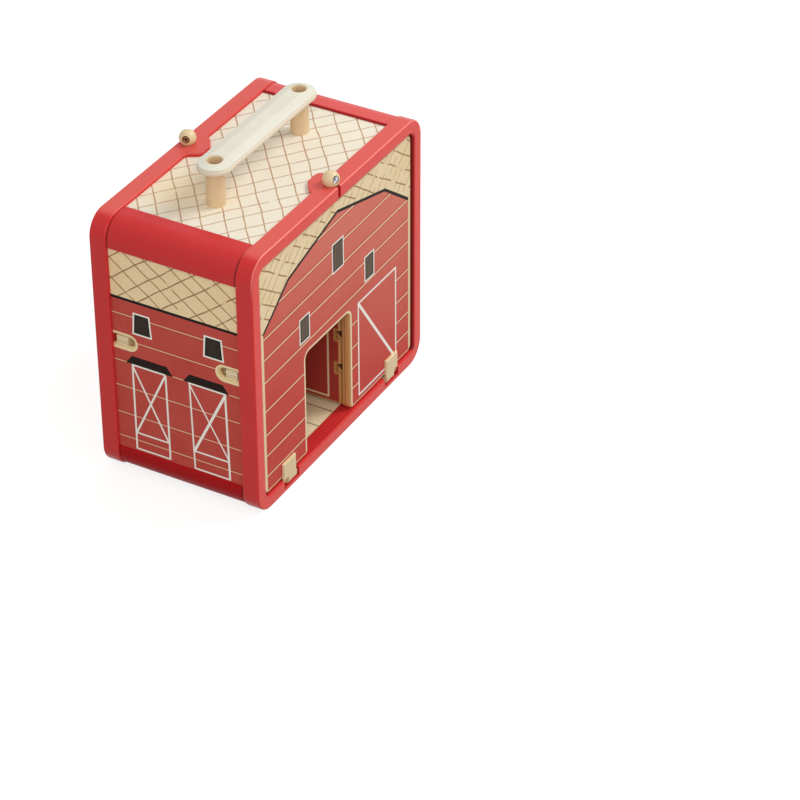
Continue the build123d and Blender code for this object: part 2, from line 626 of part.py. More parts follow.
def handle_base():
    """The handle's lower moulding: a rounded plate on two hollow posts, whose bosses line the cover's holes."""
    lip = SlotCenterToCenter(HANDLE_SPACING, HANDLE_WIDTH + 2 * HANDLE_LIP)
    base = extrude(Pos(0, 0, HANDLE_UNDER) * lip, HANDLE_LIP_HEIGHT)
    base = fillet(edges_at(base, Axis.Z, HANDLE_UNDER) + edges_at(base, Axis.Z, HANDLE_SEAM), HANDLE_LIP_ROUND)
    for x in POST_XS:
        post = rod(POST_RADIUS, (x, 0, ROOF_TOP), (x, 0, HANDLE_UNDER))
        boss = rod(SOCKET_RADIUS - FIT, (x, 0, HANDLE_UNDER), (x, 0, HANDLE_TOP - SOCKET_DROP))
        base = base + post + post_flare(x) + boss
    base = cut_all(base, handle_bores(SOCKET_RADIUS - SOCKET_WALL, HANDLE_TOP - SOCKET_DEPTH, HANDLE_TOP))
    base = cut_all(base, handle_bores(POST_BORE_RADIUS, ROOF_TOP + POST_FLOOR, HANDLE_TOP))
    return cut_all(base, handle_bores(SCREW_RADIUS + FIT, ROOF_TOP - 1, HANDLE_TOP))


def handle_screws():
    """The two screws that hold the handle, from the floor of each post to the nut under the roof."""
    seat = ROOF_TOP + POST_FLOOR
    low = ROOF_UNDER - WASHER_THICKNESS - NUT_HEIGHT + DOWEL_END_GAP * 2
    screws = []
    for x in POST_XS:
        head = rod(SCREW_HEAD_RADIUS, (x, 0, seat), (x, 0, seat + SCREW_HEAD_HEIGHT))
        screws.append(rod(SCREW_RADIUS, (x, 0, low), (x, 0, seat)) + head)
    return screws


def handle_washers():
    """The two washers under the roof board."""
    washers = []
    for x in POST_XS:
        washer = rod(WASHER_RADIUS, (x, 0, ROOF_UNDER - WASHER_THICKNESS), (x, 0, ROOF_UNDER))
        washers.append(washer - rod(SCREW_RADIUS + FIT, (x, 0, 0), (x, 0, HEIGHT)))
    return washers


def handle_nuts():
    """The two cap nuts under the washers."""
    top = ROOF_UNDER - WASHER_THICKNESS
    nuts = []
    for x in POST_XS:
        nut = extrude(Pos(x, 0, top - NUT_HEIGHT) * RegularPolygon(NUT_RADIUS, 6), NUT_HEIGHT)
        bore = rod(SCREW_RADIUS + FIT, (x, 0, top - NUT_HEIGHT + DOWEL_END_GAP), (x, 0, top + 1))
        nuts.append(nut - bore)
    return nuts


def write(name, *solids):
    """One node: its solids, apart from each other, in one file."""
    shape = solids[0] if len(solids) == 1 else Compound(children=list(solids))
    export_step(shape, f"parts/{name}.step")


front_frame = end_frame()
write("front_frame", front_frame)
write("back_frame", HALF_TURN * front_frame)

board_bores = board_dowel_rods(BOARD_DOWEL_RADIUS + FIT, 0)
for place, rail in four_corners(top_left_rail()).items():
    write(f"{place.split('_')[0]}_rail_{place.split('_')[1]}", cut_all(rail, board_bores))
write("roof_board", cut_all(roof_board(), board_bores))
write("floor_board", cut_all(floor_board(), board_bores))
left_side = cut_all(left_side_board(), board_bores)
write("side_board_left", left_side)
write("side_board_right", mirror(left_side, Plane.YZ))
write("loft_floor", loft_floor())
write("frame_dowels", *all_frame_dowel_rods(FRAME_DOWEL_RADIUS, DOWEL_END_GAP))
write("board_dowels", *board_dowel_rods(BOARD_DOWEL_RADIUS, DOWEL_END_GAP))

write("handle_cover", handle_cover())
write("handle_base", handle_base())
write("handle_screws", *handle_screws())
write("handle_washers", *handle_washers())
write("handle_nuts", *handle_nuts())

write("front_flap", front_flap())
write("back_flap", back_flap())
right_hinge_tab = right_tab()
left_hinge_tab = mirror(right_hinge_tab, Plane.YZ)
write("front_tab_left", left_hinge_tab)
write("front_tab_right", right_hinge_tab)
write("back_tab_left", HALF_TURN * left_hinge_tab)
write("back_tab_right", HALF_TURN * right_hinge_tab)
flap_pins = flap_pin_rods(FLAP_PIN_RADIUS, DOWEL_END_GAP)
write("front_flap_pins", *flap_pins)
write("back_flap_pins", *[HALF_TURN * pin for pin in flap_pins])

door = right_door()
write("door_right", door)
write("door_left", to_left_door(door))
door_pins = door_pin_rods(PIN_RADIUS, DOWEL_END_GAP)
write("door_pins_right", *door_pins)
write("door_pins_left", *[to_left_door(pin) for pin in door_pins])
brackets = right_brackets()
write("door_brackets_right", *brackets)
write("door_brackets_left", *[to_left_door(bracket) for bracket in brackets])
write("door_screws_right", *bracket_screws(1))
write("door_screws_left", *bracket_screws(-1))

for end, (tilt, turn) in BEAD_HOLES.items():
    placing = HALF_TURN if end == "back" else Pos(0, 0, 0)
    hole_aim = bead_hole_aim(tilt, turn)
    write(f"{end}_bead", placing * bead(hole_aim))
    write(f"{end}_bead_crimp", placing * bead_crimp(hole_aim))
    write(f"{end}_bead_cord", placing * bead_cord())
    write(f"{end}_flap_cord", placing * flap_cord())
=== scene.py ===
"""Looks for a carry-along toy barn: lacquered end frames and rails, printed boards, a moulded handle, metal fittings.

Lengths are in metres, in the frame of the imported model. Prints are drawn in millimetres on Object coordinates.
"""

import logging
import math
from dataclasses import dataclass
from enum import Enum
from functools import reduce
from operator import and_, matmul, or_
from typing import NamedTuple

import bmesh
import bpy
from mathutils import Matrix, Vector


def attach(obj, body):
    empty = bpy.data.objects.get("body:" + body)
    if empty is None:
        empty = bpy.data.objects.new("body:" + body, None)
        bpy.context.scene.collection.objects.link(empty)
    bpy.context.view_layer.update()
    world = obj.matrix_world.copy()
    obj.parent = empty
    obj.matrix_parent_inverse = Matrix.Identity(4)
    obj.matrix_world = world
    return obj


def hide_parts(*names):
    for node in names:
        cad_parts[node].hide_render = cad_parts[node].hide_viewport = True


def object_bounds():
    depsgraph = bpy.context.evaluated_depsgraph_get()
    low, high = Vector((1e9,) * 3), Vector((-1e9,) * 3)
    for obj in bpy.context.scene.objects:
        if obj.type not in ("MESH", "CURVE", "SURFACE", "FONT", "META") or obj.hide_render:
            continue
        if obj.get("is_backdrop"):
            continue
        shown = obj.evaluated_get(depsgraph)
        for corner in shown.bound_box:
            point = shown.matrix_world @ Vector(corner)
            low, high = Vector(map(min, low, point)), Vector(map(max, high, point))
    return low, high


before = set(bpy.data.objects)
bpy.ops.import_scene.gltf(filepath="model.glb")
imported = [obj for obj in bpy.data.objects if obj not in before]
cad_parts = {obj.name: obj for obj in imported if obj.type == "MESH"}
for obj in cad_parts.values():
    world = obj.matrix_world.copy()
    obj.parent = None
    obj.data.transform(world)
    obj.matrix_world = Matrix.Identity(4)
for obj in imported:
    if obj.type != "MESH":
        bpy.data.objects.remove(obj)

LOG = logging.getLogger("toy_barn")
MM = 0.001
WHITE = (1.0, 1.0, 1.0, 1.0)

# In millimetres: a print's soft edge, the softer one beside a rounding, and places that several pieces share.
CRISP = 0.2
BLURRED = 0.3
ROOF_TOP = 246.5
DOORWAY_MIDDLE = -18.5
DOOR_HINGE_EDGE = -65.7
BEAD_OUTWARD = 69.5
BEAD_HEIGHT = 254.7

Colour = tuple[float, float, float, float]
Paint = bpy.types.NodeSocket | str
Spot = tuple[float, float]
Place = tuple[float, float, float]


class Axis(Enum):
    """A direction of the barn's frame."""

    X = 0
    Y = 1
    Z = 2


class Half(Enum):
    """One half of the barn."""

    @property
    def word(self) -> str:
        """The half's name, as it stands in the names of its pieces."""
        return self.name.lower()


class End(Half):
    """Which end frame a piece belongs to. The value is the sign of Y on that side."""

    FRONT = -1
    BACK = 1


class Side(Half):
    """Left or right, seen from the front. The value is the sign of X on that side."""

    LEFT = -1
    RIGHT = 1


def tone(code: str) -> Colour:
    """The linear colour of a display colour.

    Args:
        code: Six hexadecimal digits, red first.

    Returns:
        Red, green, blue and full cover.
    """
    shown = [int(code[place:place + 2], 16) / 255 for place in (0, 2, 4)]
    linear = [v / 12.92 if v <= 0.04045 else ((v + 0.055) / 1.055) ** 2.4 for v in shown]
    return (*linear, 1.0)


class Field:
    """A number that varies over a surface: one output of a material's nodes."""

    def __init__(self, recipe: "Wiring", socket: bpy.types.NodeSocket) -> None:
        """Keeps the nodes that the number belongs to and the socket it comes from."""
        self.recipe = recipe
        self.socket = socket

    def __add__(self, other: "Field | float") -> "Field":
        """This number plus another."""
        return self.recipe.reckon("ADD", self, other)

    def __sub__(self, other: "Field | float") -> "Field":
        """This number less another."""
        return self.recipe.reckon("SUBTRACT", self, other)

    def __rsub__(self, other: float) -> "Field":
        """A plain number less this one."""
        return self.recipe.reckon("SUBTRACT", other, self)

    def __mul__(self, other: "Field | float") -> "Field":
        """This number times another."""
        return self.recipe.reckon("MULTIPLY", self, other)

    def __truediv__(self, other: "Field | float") -> "Field":
        """This number divided by another."""
        return self.recipe.reckon("DIVIDE", self, other)

    def __or__(self, other: "Field | float") -> "Field":
        """The greater of two numbers: where this mask or the other one is set."""
        return self.recipe.reckon("MAXIMUM", self, other)

    def __and__(self, other: "Field") -> "Field":
        """The lesser of two numbers: where this mask and the other one are set."""
        return self.recipe.reckon("MINIMUM", self, other)

    def size(self) -> "Field":
        """This number without its sign."""
        return self.recipe.reckon("ABSOLUTE", self)

    def step(self) -> "Field":
        """The whole number below this one."""
        return self.recipe.reckon("FLOOR", self)

    def above(self, level: float, soft: float = 0.15) -> "Field":
        """A mask of where this number is over a level, with a soft edge."""
        return self.recipe.reckon("MULTIPLY_ADD", self, 1 / soft, 0.5 - level / soft, clamp=True)

    def below(self, level: float, soft: float = 0.15) -> "Field":
        """A mask of where this number is under a level, with a soft edge."""
        return self.recipe.reckon("MULTIPLY_ADD", self, -1 / soft, 0.5 + level / soft, clamp=True)

    def over(self, level: float) -> "Field":
        """How far this number is over a level, and nothing where it is under it."""
        return (self - level) | 0.0

    def reach(self, other: "Field") -> "Field":
        """The length of the straight line whose two sides are this number and another."""
        return self.recipe.reckon("SQRT", self * self + other * other)

    def within(self, low: float, high: float, soft: float = 0.15) -> "Field":
        """A mask of where this number lies between two levels."""
        return (self - (low + high) / 2).size().below((high - low) / 2, soft)


class Wiring:
    """A material's or the sky's nodes in the making."""

    def __init__(self, holder: bpy.types.Material | bpy.types.World) -> None:
        """Clears the nodes.

        Args:
            holder: The material or the sky that they belong to.
        """
        holder.use_nodes = True
        self.tree = holder.node_tree
        self.tree.nodes.clear()

    def feed(self, node: bpy.types.Node, inputs: dict[str | int, object]) -> bpy.types.Node:
        """Joins or sets inputs of a node.

        Args:
            node: The node.
            inputs: What goes into each input: a number, a vector, a colour or what comes out of another node.

        Returns:
            The node.
        """
        for place, value in inputs.items():
            source = value.socket if isinstance(value, Field) else value
            if isinstance(source, bpy.types.NodeSocket):
                self.tree.links.new(source, node.inputs[place])
            else:
                node.inputs[place].default_value = tone(source) if isinstance(source, str) else source
        return node

    def node(self, kind: str, inputs: dict[str | int, object], **settings: str | bool) -> bpy.types.Node:
        """Adds a node.

        Args:
            kind: The node's type, without the words that all of them begin with.
            inputs: What goes into it.
            settings: Its own settings.

        Returns:
            The node.
        """
        node = self.tree.nodes.new(f"ShaderNode{kind}")
        for name, value in settings.items():
            setattr(node, name, value)
        return self.feed(node, inputs)

    def reckon(self, operation: str, *values: Field | float, clamp: bool = False) -> Field:
        """A number worked out from others.

        Args:
            operation: The Math node's operation.
            values: What it works on.
            clamp: Whether the result stays between 0 and 1.

        Returns:
            The result.
        """
        node = self.node("Math", dict(enumerate(values)), operation=operation, use_clamp=clamp)
        return Field(self, node.outputs[0])

    def rays(self, *kinds: str) -> Field:
        """A mask of the light rays of any of some kinds, such as Camera or Glossy."""
        outputs = self.node("LightPath", {}).outputs
        return either([Field(self, outputs[f"Is {kind} Ray"]) for kind in kinds])


class Recipe(Wiring):
    """A material in the making: its nodes, the piece's own coordinates in millimetres, and the colour laid so far."""

    def __init__(self, name: str) -> None:
        """Starts a material with a Principled shader.

        Args:
            name: The material's name.
        """
        self.material = bpy.data.materials.new(name)
        super().__init__(self.material)
        self.shader = self.node("BsdfPrincipled", {})
        self.node("OutputMaterial", {"Surface": self.shader.outputs["BSDF"]})
        spot = self.node("TexCoord", {}).outputs["Object"]
        self.place = self.node("VectorMath", {0: spot, "Scale": 1 / MM}, operation="SCALE").outputs["Vector"]
        split = self.node("SeparateXYZ", {0: self.place})
        self.axes = [Field(self, split.outputs[axis.value]) for axis in Axis]
        self.x, self.y, self.z = self.axes
        self.colour: Paint = "FFFFFF"

    def cloud(self, per_mm: float, detail: float = 3.0, along: Axis | None = None, stretch: float = 20.0,
              seed: float = 0.0) -> Field:
        """Soft random patches.

        Args:
            per_mm: How many patches there are to a millimetre.
            detail: How many finer layers lie on them.
            along: The direction in which they are drawn out, if any.
            stretch: How many times longer they are in that direction.
            seed: Moves the pattern, so that two clouds differ.

        Returns:
            A number from about 0.2 to 0.8, with a mean of 0.5.
        """
        scale = [per_mm, per_mm, per_mm]
        if along is not None:
            scale[along.value] = per_mm / stretch
        mapping = self.node("Mapping", {"Vector": self.place, "Scale": scale,
                                        "Location": (seed, seed * 1.7, seed * 2.3)})
        return self.noise(mapping.outputs[0], 1.0, detail)

    def noise(self, place: bpy.types.NodeSocket, per_unit: float, detail: float) -> Field:
        """Soft random values over any vector."""
        node = self.node("TexNoise", {"Vector": place, "Scale": per_unit, "Detail": detail})
        return Field(self, node.outputs["Fac"])

    def drift(self, first: Field, second: Field, per_unit: float) -> Field:
        """Soft random values over two numbers that aren't the piece's own coordinates."""
        return self.noise(self.node("CombineXYZ", {0: first, 1: second}).outputs[0], per_unit, 1.0)

    def chance(self, number: Field, seed: float) -> Field:
        """A random value from 0 to 1 for each whole number."""
        node = self.node("TexWhiteNoise", {"W": number + seed}, noise_dimensions="1D")
        return Field(self, node.outputs["Value"])

    def mix(self, share: Field, under: Paint, over: Paint) -> Paint:
        """One colour over another, as far as the share goes."""
        return self.node("Mix", {"Factor": share, 6: under, 7: over}, data_type="RGBA").outputs[2]

    def lay(self, share: Field, over: Paint) -> None:
        """Lays a colour over what the material has so far."""
        self.colour = self.mix(share, self.colour, over)

    def plank(self, light: str, dark: str, along: Axis, fine: float = 1.2) -> Paint:
        """The colour of wood: long grain, wider bands and short dark pores.

        Args:
            light: The paler wood.
            dark: The darker wood.
            along: The direction of the grain.
            fine: How many fibres there are to a millimetre.

        Returns:
            The colour.
        """
        fibres = self.cloud(fine, 4.0, along, 40.0)
        bands = self.cloud(0.06, 2.0, along, 6.0, seed=9.0)
        pores = self.cloud(2.2, 1.0, along, 14.0, seed=4.0).above(0.66, 0.08)
        return self.mix(pores * 0.16, self.mix((fibres * 0.9 + bands * 0.7 - 0.35).above(0.45, 0.9), light, dark),
                        "8A5A30")

    def dress(self, rough: Field | float, height: Field | None = None, relief: float = 0.0,
              **constants: object) -> bpy.types.Material:
        """Joins the colour, the roughness and the relief to the shader.

        Args:
            rough: The surface's roughness.
            height: The relief's pattern, if it has one.
            relief: The relief's depth, in millimetres.
            constants: Other inputs of the shader, with _ for a space.

        Returns:
            The finished material.
        """
        self.feed(self.shader, {"Base Color": self.colour, "Roughness": rough})
        if height is not None:
            bump = self.node("Bump", {"Strength": 1.0, "Distance": relief * MM, "Height": height})
            self.feed(self.shader, {"Normal": bump.outputs["Normal"]})
        self.feed(self.shader, {name.replace("_", " "): value for name, value in constants.items()})
        return self.material


class Face(NamedTuple):
    """The two coordinates of a board's face, in millimetres."""

    across: Field
    up: Field


def either(masks: list[Field]) -> Field:
    """Where any of several masks is set."""
    return reduce(or_, masks)


def nearest(place: Field, levels: tuple[float, ...]) -> Field:
    """How far a place is from the nearest of a row of levels."""
    return reduce(and_, [(place - level).size() for level in levels])


@dataclass(frozen=True)
class Stroke:
    """A straight painted line between two spots of a board's face, in millimetres."""

    start: Spot
    end: Spot
    width: float

    def mask(self, face: Face) -> Field:
        """Where the line covers the face.

        Args:
            face: The face.

        Returns:
            The line's mask.
        """
        run, rise = self.end[0] - self.start[0], self.end[1] - self.start[1]
        length = math.hypot(run, rise)
        run, rise = run / length, rise / length
        across, up = [(start + end) / 2 for start, end in zip(self.start, self.end)]
        reckon = face.across.recipe.reckon
        beside = reckon("MULTIPLY_ADD", face.across, -rise, rise * across - run * up)
        beside = reckon("MULTIPLY_ADD", face.up, run, beside).size()
        onward = reckon("MULTIPLY_ADD", face.across, run, -run * across - rise * up)
        onward = reckon("MULTIPLY_ADD", face.up, rise, onward).size()
        return beside.below(self.width / 2, CRISP) & onward.below(length / 2 + self.width * 0.3, CRISP)


def outline(low: Spot, high: Spot, width: float) -> list[Stroke]:
    """The four sides of an upright painted rectangle."""
    corners = [low, (high[0], low[1]), high, (low[0], high[1])]
    return [Stroke(start, end, width) for start, end in zip(corners, corners[1:] + corners[:1])]


@dataclass(frozen=True)
class Hatch:
    """One family of hand-drawn shingle lines: parallel strokes that wander and break off.

    The rhythm is how many strokes begin on a millimetre of line, the cover is the share of it that is drawn, and the
    strength is how much of the ink shows.
    """

    angle: float
    spacing: float
    width: float
    unrest: float
    cover: float
    rhythm: float
    seed: float
    strength: float
    wander: float = 3.2

    def mask(self, face: Face) -> Field:
        """Where the strokes cover a face.

        Args:
            face: The face.

        Returns:
            The strokes' mask, weaker towards their ends.
        """
        recipe = face.across.recipe
        cosine, sine = math.cos(math.radians(self.angle)), math.sin(math.radians(self.angle))
        onward = face.across * cosine + face.up * sine
        beside = face.up * cosine - face.across * sine + self.seed
        beside = beside + (recipe.drift(onward, beside * 0.25, 0.035) - 0.5) * self.wander
        line = (beside / self.spacing + 0.5).step()
        shift = (recipe.chance(line, self.seed) - 0.5) * self.unrest
        gap = (beside - line * self.spacing - shift).size()
        presence = recipe.drift(onward * self.rhythm, line * 7.7 + self.seed, 1.0)
        inked = presence.above(1 - self.cover, 0.05)
        weight = recipe.drift(onward, line * 11.3, 0.12) * 0.9 + 0.55
        return ((gap / weight).below(self.width / 2, self.width * 0.5) & inked) * self.strength


def drawn(face: Face, marks: "list[Stroke] | tuple[Stroke | Hatch, ...]") -> Field:
    """Where any of several painted lines or families of lines covers a face."""
    return either([mark.mask(face) for mark in marks])


@dataclass(frozen=True)
class Lacquer:
    """Smooth satin paint on solid wood."""

    name: str
    colour: str
    wear_and_sheen: str
    rough: float
    gloss: float
    speck: str = "7E1C20"

    def paint(self, recipe: Recipe) -> None:
        """Lays on the paint's colour: faint cloudiness and fine dark specks.

        Args:
            recipe: The material.
        """
        recipe.colour = self.colour
        recipe.lay(recipe.cloud(0.025, 3.0).above(0.5, 0.7) * 0.55, self.wear_and_sheen)
        recipe.lay(recipe.cloud(1.4, 2.0, seed=3.0).above(0.7, 0.1) * 0.06, self.speck)

    def material(self) -> bpy.types.Material:
        """The paint, with a fine orange-peel relief and a slightly uneven sheen.

        Returns:
            The finished material.
        """
        recipe = Recipe(self.name)
        self.paint(recipe)
        sheen = recipe.cloud(0.04, 3.0, seed=17.0)
        peel = recipe.cloud(0.9, 2.0, seed=6.0)
        return recipe.dress(sheen * 0.12 + (self.rough - 0.06), peel, 0.03, IOR=1.48, Specular_IOR_Level=self.gloss)


@dataclass(frozen=True)
class RingLacquer(Lacquer):
    """The rings' paint, with painted light on the top, on the outward faces and at the upper arrises, and painted
    shade in the seam round the gable board.
    """

    # Painted light: paler tones for the top, the outward faces and the upper arrises; painted shade for the seam.
    top: str = "DB5A51"
    painted_face_light: str = "EA3F33"
    painted_arris_highlight: str = "F09A92"
    painted_shade: str = "5C0C10"
    face: float = 77.5
    half_width: float = 140.0
    half_height: float = 125.0
    corner: float = 20.5
    opening_half: float = 127.5
    opening_low: float = 14.0
    opening_high: float = 232.0
    seam_depth: float = 12.0

    def paint(self, recipe: Recipe) -> None:
        """Lays on the paint's colour, the painted light and the painted shade in the seam.

        Args:
            recipe: The material.
        """
        super().paint(recipe)
        aside, outward = recipe.x.size(), recipe.y.size()
        # Painted light: the top face, the outward faces and the upper arrises are painted paler where the light falls
        # on them.
        recipe.lay(recipe.z.above(2 * self.half_height - 1.4, 2.0) * 0.9, self.top)
        recipe.lay(outward.above(self.face - 0.3, 0.5) * 0.8, self.painted_face_light)
        upward = (recipe.z - self.half_height).size().over(self.half_height - self.corner)
        turned = aside.over(self.half_width - self.corner).reach(upward)
        painted_highlight = turned.above(self.corner - 1.0, 0.6) & outward.above(self.face - 1.0, 0.6)
        recipe.lay((painted_highlight & recipe.z.above(self.opening_high - 4.0, 24.0)) * 0.6, self.painted_arris_highlight)
        # Painted shade: darker in the seam round the gable board, where the board shades the ring.
        seam = aside.below(self.opening_half + 0.4, 1.0) & recipe.z.within(self.opening_low, self.opening_high, 1.0)
        recipe.lay((seam & outward.above(self.face - self.seam_depth, 8.0)) * 0.75, self.painted_shade)


@dataclass(frozen=True)
class RailLacquer(Lacquer):
    """The rails' paint, with painted shade at the rings and on the wall beside the roof, and painted light on the
    right rail's top.
    """

    # Painted shade at the rings and beside the roof; painted light on the right rail's top.
    painted_shade: str = "6A0C14"
    painted_wall_shade: str = "8C1014"
    painted_highlight: str = "E2605A"
    end: float = 61.5
    wall: float = 108.8
    top: float = 248.8
    roof: float = ROOF_TOP

    def paint(self, recipe: Recipe) -> None:
        """Lays on the paint's colour, the painted light and the painted shade.

        Args:
            recipe: The material.
        """
        super().paint(recipe)
        # Painted light: the right rail's top is painted paler where the light falls on it.
        wear_and_sheen = recipe.x.above(self.wall + 1.5, 1.0) & recipe.z.above(self.top - 1.2, 1.2)
        recipe.lay(wear_and_sheen * 0.7, self.painted_highlight)
        # Painted shade: darker on the inner wall beside the roof, and in the grooves where the rails meet the rings,
        # fading out towards the top.
        inner = recipe.x.size().below(self.wall + 0.8, 0.8) & recipe.z.above(self.roof - 1.0, 1.0)
        recipe.lay(inner * 0.75, self.painted_wall_shade)
        groove = recipe.y.size().above(self.end - 1.2, 1.4) & recipe.z.below(self.roof - 1.0, 7.0)
        recipe.lay(groove * 0.85, self.painted_shade)


@dataclass(frozen=True)
class Plywood:
    """Bare plywood: long-grained faces, and thin layers of turning grain on its edges."""

    through: Axis
    grain: Axis
    light: str = "E6CDA0"
    dark: str = "CBA26C"
    layer_light: str = "D9B57F"
    layer_dark: str = "9C6B3C"
    pore: str = "7A4E28"
    joint: str = "6B4120"
    thickness: float = 8.0
    layer: float = 1.3
    outer_ply: float = 1.0
    glue: float = 0.35

    def paint(self, recipe: Recipe, middle: float) -> Paint:
        """The colour of the bare board.

        Args:
            recipe: The material it belongs to.
            middle: Where the middle of the board's thickness lies, in millimetres.

        Returns:
            The colour: face grain on both faces and layers between them.
        """
        depth = recipe.axes[self.through.value]
        face = recipe.plank(self.light, self.dark, self.grain)
        sheets = depth * (1 / self.layer) + (recipe.cloud(0.15, 1.0) - 0.5) * 0.25
        layer = sheets.step()
        stack = recipe.mix(recipe.chance(layer, 5.0).above(0.5, 0.8), self.layer_light, self.layer_dark)
        ends = recipe.cloud(1.8, 3.0, self.through, 0.5, seed=2.0)
        stack = recipe.mix(ends.above(0.62, 0.3) * 0.3, stack, self.pore)
        stack = recipe.mix((sheets - layer).below(0.2, 0.15) * self.glue, stack, self.joint)
        return recipe.mix((depth - middle).size().below(self.thickness / 2 - self.outer_ply, 0.25), face, stack)


@dataclass(frozen=True)
class Sanding:
    """How sanded wood takes the light: fine fibres in its relief and in its sheen.

    The uneven share is how much the roughness varies, the relief is in millimetres, and the fibres are so many to a
    millimetre and so many times longer than wide.
    """

    rough: float
    gloss: float
    relief: float
    uneven: float = 0.14
    fibres: float = 1.3
    stretch: float = 30.0
    ior: float = 1.46

    def dress(self, recipe: Recipe, grain: Axis, groove: Field | None = None) -> bpy.types.Material:
        """Finishes a material that has its colour.

        Args:
            recipe: The material.
            grain: The direction of the fibres.
            groove: How much lower each place lies, if any does.

        Returns:
            The finished material.
        """
        fibres = recipe.cloud(self.fibres, 3.0, grain, self.stretch, seed=8.0)
        height = fibres if groove is None else fibres - groove
        return recipe.dress(fibres * self.uneven + self.rough, height, self.relief, IOR=self.ior,
                            Specular_IOR_Level=self.gloss)


@dataclass(frozen=True)
class PrintInks:
    """The colours that the boards are printed in, and the widths of a window's border and bars."""

    red: str = "BC4A43"
    red_light: str = "C65B52"
    cream: str = "E9D6AC"
    cream_dark: str = "DCC08A"
    pore: str = "A9794A"
    hatch: str = "7C5636"
    plank: str = "E9C88E"
    white: str = "F6F3EA"
    black: str = "161310"
    pane: str = "332B25"
    thick: str = "A8342E"
    border: float = 1.5
    bar: float = 1.3

    def red_field(self, recipe: Recipe) -> Paint:
        """Printed red over upright wood: the grain shows through as slightly lighter streaks.

        Args:
            recipe: The material it belongs to.

        Returns:
            The colour.
        """
        streaks = recipe.cloud(0.7, 4.0, Axis.Z, 24.0, seed=12.0)
        patches = recipe.cloud(0.03, 3.0, seed=5.0)
        return recipe.mix((streaks * 0.5 + patches * 0.9 - 0.2).above(0.5, 0.8), self.red, self.red_light)

    def cream_field(self, recipe: Recipe, grain: Axis) -> None:
        """Lays pale printed wood with a visible grain.

        Args:
            recipe: The material it belongs to.
            grain: The direction of the grain.
        """
        fibres = recipe.cloud(0.9, 4.0, grain, 36.0, seed=15.0)
        patches = recipe.cloud(0.035, 3.0, seed=7.0)
        recipe.colour = self.cream
        recipe.lay((fibres * 0.7 + patches * 0.8 - 0.25).above(0.52, 0.75), self.cream_dark)
        recipe.lay(recipe.cloud(1.8, 1.0, grain, 18.0, seed=21.0).above(0.67, 0.06) * 0.12, self.pore)

    def planks(self, lines: Field, wall: Field, half_width: float, band: Spot, cover: float) -> None:
        """Draws the pale lines between planks, each in a band where the red lies thicker.

        Args:
            lines: How far each place is from a line.
            wall: Where there are planks.
            half_width: Half the width of a line.
            band: Half the width of a band, and the width of its soft edge.
            cover: How much the band shows.
        """
        lines.recipe.lay((lines.below(*band) & wall) * cover, self.thick)
        lines.recipe.lay(lines.below(half_width, 0.35) & wall, self.plank)

    def windows(self, face: Face, panes: tuple[tuple[Spot, Spot], ...], taper: float = 0.0) -> None:
        """Lays printed windows over a face: a white border, a black frame and a streaky pane.

        Args:
            face: The face.
            panes: The lowest and highest corner of each window, inside its border.
            taper: How much a window narrows from its foot to its top, as a share of its height.
        """
        recipe = face.across.recipe
        streaks = recipe.cloud(0.9, 2.0, Axis.Z, 20.0, seed=18.0).above(0.5, 0.5) * 0.5 + 0.5
        for (left, bottom), (right, top) in panes:
            rise = face.up - (bottom + top) / 2
            aside = (face.across - (left + right) / 2).size() + rise * taper
            reach = (aside - (right - left) / 2) | (rise.size() - (top - bottom) / 2)
            recipe.lay(reach.below(self.border, CRISP), self.white)
            recipe.lay(reach.below(0.0, CRISP), self.black)
            recipe.lay(reach.below(-self.bar, 0.5) * streaks, self.pane)


@dataclass(frozen=True)
class PrintedBoard:
    """A plywood board with a print on one of its faces, which lies so many millimetres from the frame's origin.

    The skin is how far below its face the print reaches, and how soft it ends there.
    """

    name: str
    inks: PrintInks
    bare: Plywood
    sanding: Sanding
    face: float
    hatches: tuple[Hatch, ...] = ()
    skin: float = 0.06
    skin_soft: float = 0.08

    def wood(self, recipe: Recipe, sign: int) -> Paint:
        """The bare board's colour, where the print faces out along an axis or, with a sign of -1, against it."""
        return self.bare.paint(recipe, sign * (self.face - self.bare.thickness / 2))

    def finish(self, recipe: Recipe, wood: Paint, printed: Field, grain: Axis = Axis.Z) -> bpy.types.Material:
        """Keeps the print to where it belongs and dresses the board."""
        recipe.colour = recipe.mix(printed, wood, recipe.colour)
        return self.sanding.dress(recipe, grain)


